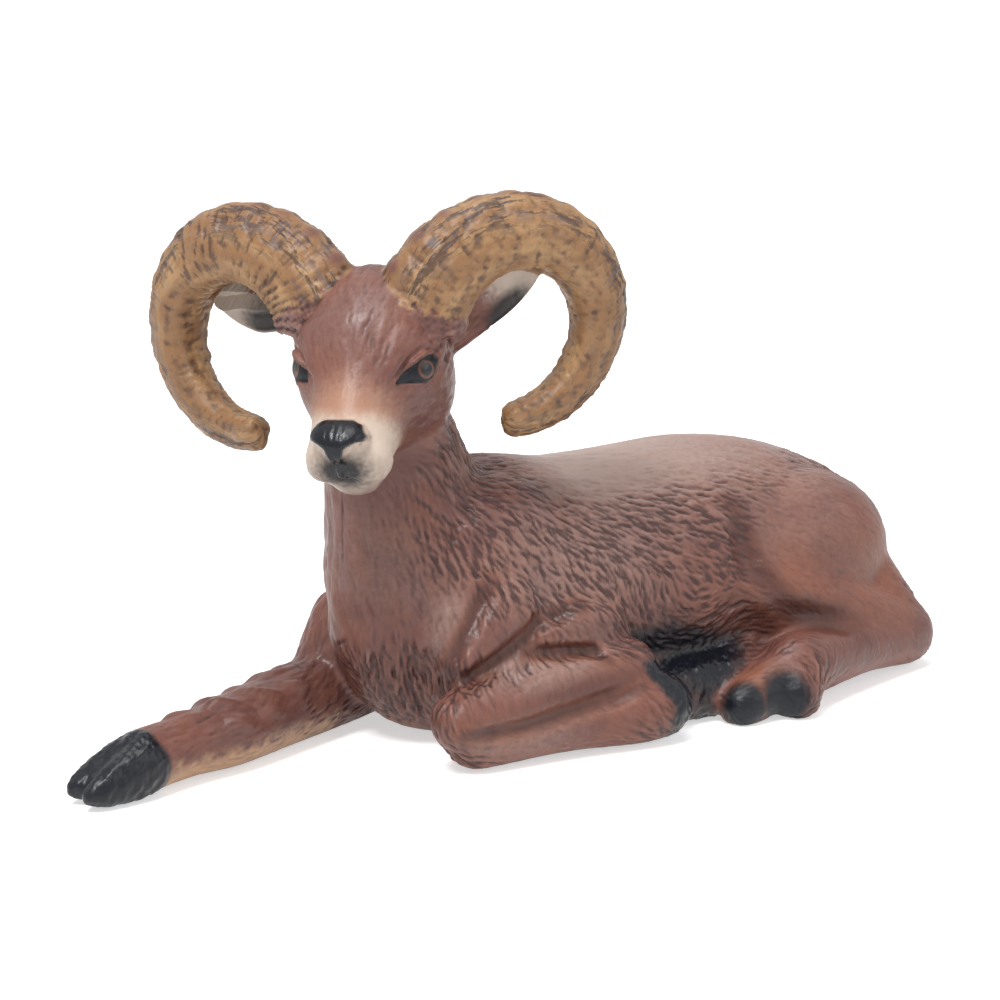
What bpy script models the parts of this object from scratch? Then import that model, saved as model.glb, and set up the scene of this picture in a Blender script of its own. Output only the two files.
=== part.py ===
# Lying bighorn ram figurine, moulded in one piece.
# Frame: the tail points along +X, the ram's left side faces -Y, +Z is up, and the origin is the middle
# of the footprint on the table.
import math

import bmesh
import bpy
import numpy as np
from mathutils import Matrix, Vector

MM = 0.001

# Trunk, from the breast to the rump, seen from the side.
BREAST_REACH = 24 * MM
RUMP_REACH = 55.5 * MM
BACK_HEIGHT = 28.6 * MM
TRUNK_WIDTH = 29 * MM
TAIL_WIDTH = 4.4 * MM

# Neck, from inside the chest to the skull.
NECK_LENGTH = 22.8 * MM
NECK_WIDTH = 14.6 * MM
NECK_DEPTH = 17 * MM
NECK_LEAN = 11

# Head, in its own frame: x from between the eyes towards the muzzle, y to the left, z out of the forehead.
HEAD_TURN = 40
HEAD_DROP = 48
HEAD_TILT = 4
SKULL_WIDTH = 17.2 * MM
SKULL_DEPTH = 18.4 * MM
FACE_LENGTH = 13.4 * MM
MUZZLE_WIDTH = 9.2 * MM
MUZZLE_DEPTH = 9.4 * MM
NOSE_WIDTH = 6.4 * MM
EYE_SPACING = 12.2 * MM
EYE_SIZE = 4.6 * MM
EYEBALL_DIAMETER = 3.4 * MM
EAR_LENGTH = 14 * MM
EAR_WIDTH = 6 * MM
EAR_THICKNESS = 2.4 * MM

# Horns. Each curls in a plane that is swept back from straight sideways.
HORN_BASE_DIAMETER = 10 * MM
HORN_TIP_DIAMETER = 3.8 * MM
HORN_CURL_RADIUS = 10.1 * MM
HORN_SPACING = 13 * MM
HORN_FORWARD_DRIFT = 4 * MM
LEFT_HORN_SWEEP = 38
LEFT_HORN_RAKE = 34
RIGHT_HORN_SWEEP = 22
RIGHT_HORN_RAKE = 44
HORN_START = 145
HORN_TURN = 254
HORN_RINGS = 17
HORN_RING_HEIGHT = 0.2 * MM
HORN_KEEL = 0.06
HORN_FLATNESS = 0.94
HORN_STEPS = 90
HORN_ROOT_STEPS = 8
HORN_TIP_START = 0.97

# Left foreleg, folded under the ram.
FOREARM_LENGTH = 22 * MM
FOREARM_DIAMETER = 7.4 * MM
FORE_CANNON_LENGTH = 23 * MM
FORE_CANNON_DIAMETER = 6.4 * MM
FETLOCK_DIAMETER = 8.2 * MM

# Right foreleg, stretched out in front.
REACHING_LEG_LENGTH = 30.4 * MM
REACHING_LEG_DIAMETER = 8 * MM
HOOF_LENGTH = 9.4 * MM
HOOF_WIDTH = 7 * MM
HOOF_HEIGHT = 6.2 * MM

# Hind legs. The left one lies along the flank, and the right one passes under the belly.
THIGH_LENGTH = 30 * MM
THIGH_DEPTH = 23 * MM
SHANK_LENGTH = 27 * MM
SHANK_DIAMETER = 9.4 * MM
HOCK_DIAMETER = 6.8 * MM
HIND_CANNON_LENGTH = 22.5 * MM
HIND_CANNON_DIAMETER = 6.6 * MM
HIND_HOOF_SIZE = 5.6 * MM

# Surface.
CLAY_STEP = 0.4 * MM
TRIANGLES = 11600
DETAIL_WEIGHT = 2e-6
RING_POINTS = 28
CREASE_ANGLE = 60


def spread(table, steps):
    """Points of a smooth curve through the rows of a table, with the first and last rows kept."""
    rows = np.array(table, float)
    padded = np.vstack([2 * rows[0] - rows[1], rows, 2 * rows[-1] - rows[-2]])
    out = []
    for i in range(len(rows) - 1):
        p0, p1, p2, p3 = padded[i : i + 4]
        for k in range(steps):
            t = k / steps
            out.append(
                0.5
                * (
                    2 * p1
                    + (p2 - p0) * t
                    + (2 * p0 - 5 * p1 + 4 * p2 - p3) * t**2
                    + (3 * p1 - p0 - 3 * p2 + p3) * t**3
                )
            )
    out.append(rows[-1])
    return np.array(out)


def loft(stations, side_hint=Vector((0, 1, 0)), steps=5, bluntness=1.0, squareness=2.0, place=None):
    """A closed shell through elliptical stations: (middle, half width, half height)."""
    table = [(*middle, max(wide, 1e-5), max(high, 1e-5)) for middle, wide, high in stations]
    rows = spread(table, steps)
    middles, sizes = rows[:, :3], np.maximum(rows[:, 3:], 2e-5)
    tangents = np.gradient(middles, axis=0)
    tangents /= np.linalg.norm(tangents, axis=1)[:, None]
    angles = np.arange(RING_POINTS) * 2 * math.pi / RING_POINTS
    power = 2 / squareness
    around = np.stack(
        [
            np.sign(np.cos(angles)) * np.abs(np.cos(angles)) ** power,
            np.sign(np.sin(angles)) * np.abs(np.sin(angles)) ** power,
        ],
        axis=1,
    )
    rings = []
    hint = np.array(side_hint, float)
    for end, order in ((0, (1.45, 1.2, 0.9, 0.6, 0.3)), (None, ()), (-1, (0.3, 0.6, 0.9, 1.2, 1.45))):
        if end is None:
            lean_rows = [(m, s, t) for m, s, t in zip(middles, sizes, tangents)]
        else:
            outward = tangents[end] * (-1 if end == 0 else 1)
            reach = sizes[end].min() * bluntness
            lean_rows = [
                (middles[end] + outward * reach * math.sin(a), sizes[end] * math.cos(a), tangents[end])
                for a in order
            ]
        for middle, size, tangent in lean_rows:
            side = hint - tangent * hint.dot(tangent)
            side /= np.linalg.norm(side)
            lift = np.cross(tangent, side)
            rings.append(middle + np.outer(around[:, 0] * size[0], side) + np.outer(around[:, 1] * size[1], lift))
    return close_rings(rings, place)


def close_rings(rings, place=None):
    """Quads between neighbouring rings and a cap on each end."""
    shell = bmesh.new()
    made = [[shell.verts.new(p) for p in ring] for ring in rings]
    count = len(rings[0])
    for low, high in zip(made, made[1:]):
        for k in range(count):
            shell.faces.new((low[k], low[(k + 1) % count], high[(k + 1) % count], high[k]))
    shell.faces.new(made[0][::-1])
    shell.faces.new(made[-1])
    bmesh.ops.recalc_face_normals(shell, faces=shell.faces)
    if place is not None:
        bmesh.ops.transform(shell, matrix=place, verts=shell.verts)
    mesh = bpy.data.meshes.new("shell")
    shell.to_mesh(mesh)
    shell.free()
    return mesh


def ball(middle, radii, turn=Matrix.Identity(3), place=None):
    """An ellipsoid; turn sets the directions of its radii."""
    shell = bmesh.new()
    bmesh.ops.create_uvsphere(shell, u_segments=32, v_segments=20, radius=1)
    shape = Matrix.Translation(middle) @ turn.to_4x4() @ Matrix.Diagonal((*radii, 1))
    bmesh.ops.transform(shell, matrix=shape if place is None else place @ shape, verts=shell.verts)
    mesh = bpy.data.meshes.new("shell")
    shell.to_mesh(mesh)
    shell.free()
    return mesh


def along(start, length, turn, drop=0.0):
    """The point at this distance ahead: turn is to the ram's left from straight ahead, drop is down."""
    turn, drop = math.radians(turn), math.radians(drop)
    ahead = Vector((-math.cos(turn) * math.cos(drop), -math.sin(turn) * math.cos(drop), -math.sin(drop)))
    return start + ahead * length


def trunk():
    # share of the length from the breast, then middle height, half width and half height
    profile = (
        (0.05, 0.66, 0.22, 0.17),
        (0.08, 0.61, 0.42, 0.31),
        (0.125, 0.57, 0.62, 0.47),
        (0.19, 0.54, 0.82, 0.54),
        (0.28, 0.525, 0.95, 0.54),
        (0.38, 0.50, 0.99, 0.515),
        (0.50, 0.497, 1.00, 0.503),
        (0.63, 0.497, 1.00, 0.503),
        (0.73, 0.475, 0.99, 0.48),
        (0.83, 0.425, 0.92, 0.425),
        (0.91, 0.37, 0.74, 0.35),
        (0.955, 0.33, 0.53, 0.27),
        (0.985, 0.30, 0.30, 0.16),
    )
    length = BREAST_REACH + RUMP_REACH
    return loft(
        [
            (
                (share * length - BREAST_REACH, 0, middle * BACK_HEIGHT),
                half_width * TRUNK_WIDTH / 2,
                half_height * BACK_HEIGHT,
            )
            for share, middle, half_width, half_height in profile
        ],
        bluntness=0.6,
    )


def tail():
    root = Vector((0.86 * RUMP_REACH, 0.02 * TRUNK_WIDTH, 0.68 * BACK_HEIGHT))
    tip = Vector((1.0 * RUMP_REACH, 0.05 * TRUNK_WIDTH, 0.32 * BACK_HEIGHT))
    return tube(
        (root, TAIL_WIDTH / 2),
        (root.lerp(tip, 0.5) + Vector((0.06 * RUMP_REACH, 0, 0)), 0.5 * TAIL_WIDTH),
        (tip + Vector((0.02 * RUMP_REACH, 0, 0)), 0.32 * TAIL_WIDTH),
    )


def neck_line():
    """Where the neck starts inside the chest and the way it rises."""
    base = Vector((-0.51 * BREAST_REACH, 0, 0.72 * BACK_HEIGHT))
    lean = math.radians(NECK_LEAN)
    return base, Vector((-math.sin(lean), 0, math.cos(lean)))


def head_place():
    """Head frame in the figurine's frame, with its origin between the eyes."""
    base, rise = neck_line()
    turn, drop = math.radians(HEAD_TURN), math.radians(HEAD_DROP)
    nose = Vector((-math.cos(turn) * math.cos(drop), -math.sin(turn) * math.cos(drop), -math.sin(drop)))
    left = Vector((math.sin(turn), -math.cos(turn), 0))
    up = nose.cross(left)
    axes = Matrix((nose, left, up)).transposed() @ Matrix.Rotation(math.radians(HEAD_TILT), 3, "X")
    eyes = base + rise * NECK_LENGTH + axes @ Vector((0.30 * FACE_LENGTH, 0.05 * SKULL_WIDTH, 0.425 * SKULL_DEPTH))
    return Matrix.Translation(eyes) @ axes.to_4x4()


def neck():
    base, rise = neck_line()
    # share of the length, width and depth, then how far the middle lies towards the withers
    profile = (
        (-0.50, 1.35, 1.00, 0.06),
        (-0.1, 1.32, 1.27, 0.02),
        (0.2, 1.16, 1.15, 0.01),
        (0.5, 1.05, 0.94, -0.02),
        (0.8, 0.96, 0.80, -0.04),
        (1.0, 0.90, 0.76, -0.03),
    )
    return loft(
        [
            (
                base + rise * (share * NECK_LENGTH) + Vector((slide * NECK_DEPTH, 0, 0)),
                wide * NECK_WIDTH / 2,
                deep * NECK_DEPTH / 2,
            )
            for share, wide, deep, slide in profile
        ],
        bluntness=0.5,
    )


def head(place):
    half_w, half_d = SKULL_WIDTH / 2, SKULL_DEPTH / 2
    muzzle_w, muzzle_d = MUZZLE_WIDTH / 2, MUZZLE_DEPTH / 2
    return [
        loft(
            [
                ((-0.66 * FACE_LENGTH, 0, -0.20 * SKULL_DEPTH), 0.68 * half_w, 0.70 * half_d),
                ((-0.40 * FACE_LENGTH, 0, -0.19 * SKULL_DEPTH), 0.90 * half_w, 0.94 * half_d),
                ((-0.08 * FACE_LENGTH, 0, -0.19 * SKULL_DEPTH), 0.98 * half_w, half_d),
                ((0.22 * FACE_LENGTH, 0, -0.16 * SKULL_DEPTH), 0.86 * half_w, 0.86 * half_d),
                ((0.50 * FACE_LENGTH, 0, -0.11 * SKULL_DEPTH), 1.10 * muzzle_w, 1.26 * muzzle_d),
                ((0.74 * FACE_LENGTH, 0, -0.09 * SKULL_DEPTH), 0.96 * muzzle_w, 1.06 * muzzle_d),
                ((0.91 * FACE_LENGTH, 0, -0.10 * SKULL_DEPTH), 0.88 * muzzle_w, 0.90 * muzzle_d),
            ],
            bluntness=0.5,
            place=place,
        ),
        ball(
            Vector((0.88 * FACE_LENGTH, 0, 0.31 * MUZZLE_DEPTH)),
            (0.16 * FACE_LENGTH, NOSE_WIDTH / 2, 0.16 * MUZZLE_DEPTH),
            place=place,
        ),
        ball(
            Vector((0.83 * FACE_LENGTH, 0, -0.50 * MUZZLE_DEPTH)),
            (0.22 * FACE_LENGTH, 0.36 * MUZZLE_WIDTH, 0.25 * MUZZLE_DEPTH),
            place=place,
        ),
        *(
            ball(
                Vector((-0.06 * FACE_LENGTH, side * 0.29 * SKULL_WIDTH, -0.36 * SKULL_DEPTH)),
                (0.42 * FACE_LENGTH, 0.19 * SKULL_WIDTH, 0.30 * SKULL_DEPTH),
                place=place,
            )
            for side in (-1, 1)
        ),
        *(
            ball(
                Vector((0.87 * FACE_LENGTH, side * 0.26 * MUZZLE_WIDTH, -0.14 * MUZZLE_DEPTH)),
                (0.20 * FACE_LENGTH, 0.26 * MUZZLE_WIDTH, 0.30 * MUZZLE_DEPTH),
                place=place,
            )
            for side in (-1, 1)
        ),
    ]


def eye_at(side):
    return Vector((0.10 * FACE_LENGTH, side * EYE_SPACING / 2, 0.01 * SKULL_DEPTH))


def eyeball(side, place):
    radius = EYEBALL_DIAMETER / 2
    return ball(eye_at(side) + Vector((-0.10 * EYE_SIZE, 0, 0)), (1.1 * radius, radius, radius), place=place)


def horn_frame(side):
    """Centre, outward, upright and forward directions of one horn's curl, in the head frame."""
    sweep = math.radians(LEFT_HORN_SWEEP if side > 0 else RIGHT_HORN_SWEEP)
    rake = math.radians(LEFT_HORN_RAKE if side > 0 else RIGHT_HORN_RAKE)
    upright = Vector((-math.sin(rake), 0, math.cos(rake)))
    ahead = Vector((math.cos(rake), 0, math.sin(rake)))
    outward = Vector((0, side * math.cos(sweep), 0)) - ahead * math.sin(sweep)
    normal = ahead * math.cos(sweep) + Vector((0, side * math.sin(sweep), 0))
    start = math.radians(HORN_START)
    root = Vector((-0.61 * FACE_LENGTH, (side - 0.06) * HORN_SPACING / 2, 0.02 * SKULL_DEPTH))
    centre = root - HORN_CURL_RADIUS * (outward * math.cos(start) + upright * math.sin(start))
    return centre, outward, upright, normal


def horn_at(side, share):
    """Middle of a horn and the direction away from its curl's centre, at a share of its length."""
    centre, outward, upright, normal = horn_frame(side)
    angle = math.radians(HORN_START - HORN_TURN * share)
    radial = outward * math.cos(angle) + upright * math.sin(angle)
    drift = normal * (HORN_FORWARD_DRIFT * max(share, 0) ** 1.5)
    return centre + radial * HORN_CURL_RADIUS + drift, radial


def horn(side, place):
    """A ringed horn; side is 1 for the ram's left horn and -1 for its right."""
    normal = horn_frame(side)[3]
    rings = []
    for i in range(-HORN_ROOT_STEPS, HORN_STEPS + 1):
        share = i / HORN_STEPS
        middle, radial = horn_at(side, share)
        radius = 0.5 * (HORN_BASE_DIAMETER + (HORN_TIP_DIAMETER - HORN_BASE_DIAMETER) * share)
        radius += HORN_RING_HEIGHT * (1 - share) * math.sin(2 * math.pi * HORN_RINGS * share)
        past_tip = max(0, share - HORN_TIP_START) / (1 - HORN_TIP_START)
        radius *= math.sqrt(1.04 - past_tip**2)
        ring = []
        for k in range(RING_POINTS):
            angle = 2 * math.pi * k / RING_POINTS
            three_sided = 1 + HORN_KEEL * math.cos(3 * angle)
            reach = radial * math.cos(angle) + normal * math.sin(angle) * HORN_FLATNESS
            ring.append(tuple(middle + reach * radius * three_sided))
        rings.append(ring)
    return close_rings(rings, place)


def ear_line(side):
    """An ear's root and reach, the direction across its leaf, and the one its hollow faces."""
    root = Vector((-0.47 * FACE_LENGTH, side * 0.42 * SKULL_WIDTH, -0.32 * SKULL_DEPTH))
    reach = Vector((-0.69, side * 0.70, 0.18)).normalized()
    across = Vector((0.23, 0.44 * side, -0.82))
    across = (across - reach * across.dot(reach)).normalized()
    face = reach.cross(across)
    if face.x < 0:
        face = -face
    return root, reach * EAR_LENGTH, across, face


def ear(side, place):
    root, reach, across, _ = ear_line(side)
    half_w, half_t = EAR_WIDTH / 2, EAR_THICKNESS / 2
    stations = [
        (root, 0.72 * half_w, 1.6 * half_t),
        (root + reach * 0.25, 0.86 * half_w, 1.25 * half_t),
        (root + reach * 0.5, 1.0 * half_w, half_t),
        (root + reach * 0.75, 0.84 * half_w, 0.9 * half_t),
        (root + reach * 0.93, 0.42 * half_w, 0.7 * half_t),
        (root + reach, 0.14 * half_w, 0.5 * half_t),
    ]
    return loft(stations, side_hint=across, place=place)


def tube(*stations, steps=6, bluntness=1.0):
    """A round-ended limb through (middle, radius) stations."""
    return loft([(middle, radius, radius) for middle, radius in stations], steps=steps, bluntness=bluntness)


def elbow_at():
    """Elbow of the folded left foreleg, where it lies against the ribs."""
    return Vector((0.22 * BREAST_REACH, -0.55 * TRUNK_WIDTH, 0.285 * BACK_HEIGHT))


def fore_leg_folded():
    """Shoulder, upper arm, forearm forward to the knee, and cannon back beside it."""
    half = TRUNK_WIDTH / 2
    arm, cannon, fetlock = FOREARM_DIAMETER / 2, FORE_CANNON_DIAMETER / 2, FETLOCK_DIAMETER / 2
    elbow = elbow_at()
    knee = along(elbow, FOREARM_LENGTH, -4, 6)
    knee_low = Vector((knee.x + 0.5 * arm, knee.y, cannon))
    foot = along(knee_low, -FORE_CANNON_LENGTH, -10)
    foot.z = fetlock
    blade = Vector((-0.24 * BREAST_REACH, -0.36 * half, 0.68 * BACK_HEIGHT))
    shoulder = Vector((-0.32 * BREAST_REACH, -0.74 * half, 0.60 * BACK_HEIGHT))
    point = Vector((-0.62 * BREAST_REACH, -0.78 * half, 0.38 * BACK_HEIGHT))
    breast_top = Vector((-0.44 * BREAST_REACH, -0.58 * half, 0.62 * BACK_HEIGHT))
    breast_low = Vector((-0.68 * BREAST_REACH, -0.52 * half, 0.46 * BACK_HEIGHT))
    return [
        ball(blade, (0.46 * BREAST_REACH, 0.52 * half, 0.36 * BACK_HEIGHT)),
        ball(shoulder.lerp(elbow, 0.5) + Vector((-arm, 0.40 * half, -arm)), (3.0 * arm, 0.56 * half, 2.4 * arm)),
        tube((elbow + Vector((0, 0.30 * half, -0.4 * arm)), arm), (knee_low + Vector((arm, 0.30 * half, 0)), arm)),
        tube((shoulder, 0.95 * arm), (shoulder.lerp(point, 0.6), 0.85 * arm), (point, 0.55 * arm)),
        tube((breast_top, 0.9 * arm), (breast_top.lerp(breast_low, 0.6), 0.8 * arm), (breast_low, 0.5 * arm)),
        ball(
            shoulder.lerp(elbow, 0.5) + Vector((0.4 * arm, 0.15 * half, 0.1 * arm)),
            (2.3 * arm, 0.36 * half, 1.25 * arm),
        ),
        tube((elbow, 0.95 * arm), (elbow.lerp(knee, 0.5), 0.98 * arm), (knee, 0.95 * arm)),
        tube((knee, 0.92 * arm), (knee_low, cannon)),
        tube(
            (knee_low, cannon),
            (knee_low.lerp(foot, 0.45), 0.98 * cannon),
            (knee_low.lerp(foot, 0.85), 0.96 * fetlock),
            (foot, 0.94 * fetlock),
        ),
    ]


def fore_leg_reaching_line():
    """Elbow, knee and fetlock of the right foreleg."""
    leg = REACHING_LEG_DIAMETER / 2
    elbow = Vector((-0.78 * BREAST_REACH, 0.275 * TRUNK_WIDTH, 1.1 * leg))
    knee = along(elbow, 0.57 * REACHING_LEG_LENGTH, 17)
    knee.z = leg
    fetlock = along(knee, 0.40 * REACHING_LEG_LENGTH, 9)
    fetlock.z = 0.9 * leg
    return elbow, knee, fetlock


def fore_leg_reaching():
    """The right foreleg, stretched out in front and resting on the table."""
    half, leg = TRUNK_WIDTH / 2, REACHING_LEG_DIAMETER / 2
    elbow, knee, fetlock = fore_leg_reaching_line()
    shoulder = Vector((-0.62 * BREAST_REACH, 0.58 * half, 0.40 * BACK_HEIGHT))
    blade = Vector((-0.24 * BREAST_REACH, 0.36 * half, 0.68 * BACK_HEIGHT))
    return [
        ball(blade, (0.42 * BREAST_REACH, 0.56 * half, 0.36 * BACK_HEIGHT)),
        tube((shoulder, 1.15 * leg), (elbow, 1.1 * leg)),
        tube(
            (elbow.lerp(knee, -0.4), 1.15 * leg),
            (elbow, 1.12 * leg),
            (elbow.lerp(knee, 0.5), 1.05 * leg),
            (knee, leg),
            (knee.lerp(fetlock, 0.5), 0.86 * leg),
            (fetlock, 0.88 * leg),
        ),
        *hoof_toes(fetlock, 4),
    ]


def hoof_toes(fetlock, turn):
    """Two toes of a cloven hoof that points ahead."""
    toes = []
    for side in (-1, 1):
        start = fetlock + Vector((0, side * 0.23 * HOOF_WIDTH, 0))
        start.z = 0.56 * HOOF_HEIGHT
        tip = along(start, 0.85 * HOOF_LENGTH, turn)
        tip.z = 0.26 * HOOF_HEIGHT
        toes.append(
            loft(
                [
                    (start, 0.29 * HOOF_WIDTH, 0.50 * HOOF_HEIGHT),
                    (start.lerp(tip, 0.4), 0.28 * HOOF_WIDTH, 0.46 * HOOF_HEIGHT),
                    (start.lerp(tip, 0.8), 0.23 * HOOF_WIDTH, 0.32 * HOOF_HEIGHT),
                    (tip, 0.15 * HOOF_WIDTH, 0.2 * HOOF_HEIGHT),
                ]
            )
        )
    return toes


def hind_leg_near():
    """The left hind leg: thigh, shank back to the hock, cannon forward along the table, and hoof."""
    half, shank, hock, cannon = TRUNK_WIDTH / 2, SHANK_DIAMETER / 2, HOCK_DIAMETER / 2, HIND_CANNON_DIAMETER / 2
    toe = HIND_HOOF_SIZE / 2
    hip = Vector((0.67 * RUMP_REACH, -0.52 * half, 0.50 * BACK_HEIGHT))
    stifle = Vector((hip.x - 0.36 * THIGH_LENGTH, -0.90 * half, 0.47 * BACK_HEIGHT))
    hock_at = Vector((stifle.x + SHANK_LENGTH - 1.0 * hock, -0.97 * half, 1.25 * hock))
    rump = Vector((0.77 * RUMP_REACH, -0.40 * half, 0.50 * BACK_HEIGHT))
    fetlock = along(hock_at, HIND_CANNON_LENGTH, 12)
    fetlock.z = 1.45 * cannon
    return [
        ball(hip, (0.45 * THIGH_LENGTH, 0.58 * half, 0.44 * THIGH_DEPTH)),
        ball(stifle.lerp(hock_at, 0.35) + Vector((0, 0.35 * half, 0)), (0.5 * SHANK_LENGTH, 0.55 * half, 1.6 * shank)),
        tube((hip, 0.36 * THIGH_DEPTH), (stifle, 0.62 * shank)),
        tube((stifle, 0.74 * shank), (stifle.lerp(hock_at, 0.5), 0.87 * shank), (hock_at, hock)),
        tube((rump, 0.30 * THIGH_DEPTH), (hock_at, 0.95 * hock)),
        tube(
            (hock_at + Vector((0, 0, -0.2 * hock)), hock),
            (hock_at.lerp(fetlock, 0.4), cannon),
            (hock_at.lerp(fetlock, 0.8), 1.1 * cannon),
            (fetlock, 1.2 * cannon),
        ),
        tube((fetlock, 1.1 * cannon), (fetlock + Vector((-0.7 * toe, -0.9 * toe, -0.8 * toe)), 1.1 * toe)),
        tube((fetlock, cannon), (fetlock + Vector((-3.0 * toe, -0.2 * toe, -1.0 * toe)), toe)),
    ]


def hind_leg_far():
    """The right hind leg: haunch under the far side and its cannon and hoof under the belly."""
    half, cannon = TRUNK_WIDTH / 2, HIND_CANNON_DIAMETER / 2
    haunch = Vector((0.64 * RUMP_REACH, 0.62 * half, 0.34 * BACK_HEIGHT))
    foot = Vector((0.32 * RUMP_REACH, -0.98 * half, cannon))
    toe = foot + Vector((-0.5 * HOOF_LENGTH, 0, 0))
    heel = foot + Vector((0.6 * HOOF_LENGTH, 0, 0))
    pastern = heel + Vector((0, 0.3 * HOOF_WIDTH, 0))
    belly_front = toe + Vector((-0.75 * HOOF_LENGTH, 0.28 * HOOF_WIDTH, 0))
    belly_back = heel + Vector((0.55 * HOOF_LENGTH, 0.1 * HOOF_WIDTH, 0))
    return [
        ball(haunch, (0.46 * THIGH_LENGTH, 0.58 * half, 0.42 * THIGH_DEPTH)),
        tube((haunch + Vector((0, -0.3 * half, -0.12 * BACK_HEIGHT)), 1.3 * cannon), (foot, 1.1 * cannon)),
        tube((toe, 1.05 * cannon), (heel, 1.15 * cannon)),
        tube((belly_front, 1.2 * cannon), (belly_back, 1.05 * cannon)),
        ball(pastern, (0.5 * HOOF_LENGTH, 0.6 * HOOF_WIDTH, 1.6 * cannon)),
    ]


def evaluated(obj):
    graph = bpy.context.evaluated_depsgraph_get()
    return bpy.data.meshes.new_from_object(obj.evaluated_get(graph))


def joined(shells, name):
    """One object holding copies of all these meshes."""
    gathered = bmesh.new()
    for mesh in shells:
        gathered.from_mesh(mesh)
    mesh = bpy.data.meshes.new(name)
    gathered.to_mesh(mesh)
    gathered.free()
    obj = bpy.data.objects.new(name, mesh)
    bpy.context.scene.collection.objects.link(obj)
    return obj


def fused(shells, name, smoothing):
    """The shells melted into one skin and softened, as clay is."""
    obj = joined(shells, name)
    melt = obj.modifiers.new("melt", "REMESH")
    melt.mode = "VOXEL"
    melt.voxel_size = CLAY_STEP
    soften = obj.modifiers.new("soften", "SMOOTH")
    soften.factor = 0.5
    soften.iterations = smoothing
    mesh = evaluated(obj)
    bpy.data.objects.remove(obj)
    return mesh


def distance_to_path(points, path):
    """Each point's distance to a path of straight runs."""
    nearest = np.full(len(points), np.inf)
    for a, b in zip(path[:-1], path[1:]):
        run = b - a
        share = np.clip((points - a) @ run / max(run @ run, 1e-18), 0, 1)
        nearest = np.minimum(nearest, np.linalg.norm(points - a - share[:, None] * run, axis=1))
    return nearest


def stroke(mesh, path, width, height, place=None):
    """Raises the skin along a smooth path by height, or carves it where height is negative."""
    path = [place @ Vector(p) if place is not None else Vector(p) for p in path]
    path = spread([tuple(p) for p in path], 6) if len(path) > 2 else np.array([tuple(p) for p in path])
    count = len(mesh.vertices)
    points, normals = np.empty(count * 3), np.empty(count * 3)
    mesh.vertices.foreach_get("co", points)
    mesh.vertex_normals.foreach_get("vector", normals)
    points, normals = points.reshape(-1, 3), normals.reshape(-1, 3)
    near = distance_to_path(points, path) / width
    swell = np.where(near < 1, (1 - np.minimum(near, 1) ** 2) ** 2, 0)
    mesh.vertices.foreach_set("co", (points + normals * (swell * height)[:, None]).ravel())
    mesh.update()


def carve_folds(skin):
    """The fold in front of the thigh and under it, and the one above the elbow."""
    half, arm = TRUNK_WIDTH / 2, FOREARM_DIAMETER / 2
    thigh_edge = [
        Vector((0.43 * RUMP_REACH, -0.97 * half, 0.78 * BACK_HEIGHT)),
        Vector((0.43 * RUMP_REACH, -1.03 * half, 0.62 * BACK_HEIGHT)),
        Vector((0.46 * RUMP_REACH, -1.12 * half, 0.53 * BACK_HEIGHT)),
    ]
    stroke(skin, thigh_edge, 0.20 * half, -0.05 * half)
    elbow_fold = [
        Vector((-0.18 * BREAST_REACH, -1.12 * half, 0.52 * BACK_HEIGHT)),
        Vector((-0.36 * BREAST_REACH, -1.12 * half, 0.40 * BACK_HEIGHT)),
        Vector((-0.46 * BREAST_REACH, -1.15 * half, 0.32 * BACK_HEIGHT)),
    ]
    stroke(skin, elbow_fold, 0.5 * arm, -0.16 * arm)
    elbow = elbow_at()
    forearm_fold = [
        elbow + Vector((0.4, -1.1, 0.25)) * arm,
        elbow + Vector((-1.0, -1.1, 0.85)) * arm,
        elbow + Vector((-3.2, -0.9, 0.75)) * arm,
    ]
    stroke(skin, forearm_fold, 0.45 * arm, -0.18 * arm)


def carve_face(skin, place):
    """Eye sockets, brows and lids, nostrils, the line under the nose and the mouth."""
    face, width, depth = FACE_LENGTH, MUZZLE_WIDTH, MUZZLE_DEPTH
    for side in (-1, 1):
        eye = eye_at(side)

        def round_eye(ahead, up, inward=0.0):
            return eye + Vector((ahead, -side * inward, up)) * EYE_SIZE

        stroke(skin, [round_eye(0.25, 0.30, 0.1), round_eye(-0.25, 0.28)], 0.50 * EYE_SIZE, -0.16 * EYE_SIZE, place)
        stroke(skin, [round_eye(0.62, 0.22, 0.15), round_eye(0.30, 0.28, 0.1)], 0.22 * EYE_SIZE, -0.10 * EYE_SIZE, place)
        brow = [round_eye(0.60, 0.60, 0.45), round_eye(0.05, 0.74, 0.30), round_eye(-0.55, 0.56, 0.0)]
        stroke(skin, brow, 0.36 * EYE_SIZE, 0.13 * EYE_SIZE, place)
        lower_lid = [round_eye(0.60, -0.02, -0.1), round_eye(0.0, -0.16, -0.1), round_eye(-0.50, 0.06, 0.0)]
        stroke(skin, lower_lid, 0.24 * EYE_SIZE, 0.07 * EYE_SIZE, place)
        nostril = [
            Vector((1.04 * face, side * 0.10 * NOSE_WIDTH, 0.12 * depth)),
            Vector((1.00 * face, side * 0.30 * NOSE_WIDTH, 0.20 * depth)),
            Vector((0.92 * face, side * 0.44 * NOSE_WIDTH, 0.30 * depth)),
        ]
        stroke(skin, nostril, 0.16 * NOSE_WIDTH, -0.12 * NOSE_WIDTH, place)
        lip = [
            Vector((1.03 * face, 0, -0.24 * depth)),
            Vector((0.97 * face, side * 0.30 * width, -0.27 * depth)),
            Vector((0.72 * face, side * 0.48 * width, -0.30 * depth)),
        ]
        stroke(skin, lip, 0.10 * width, -0.06 * width, place)
    under_nose = [(1.06 * face, 0, 0.08 * depth), (1.04 * face, 0, -0.22 * depth)]
    stroke(skin, under_nose, 0.09 * width, -0.05 * width, place)


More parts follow.
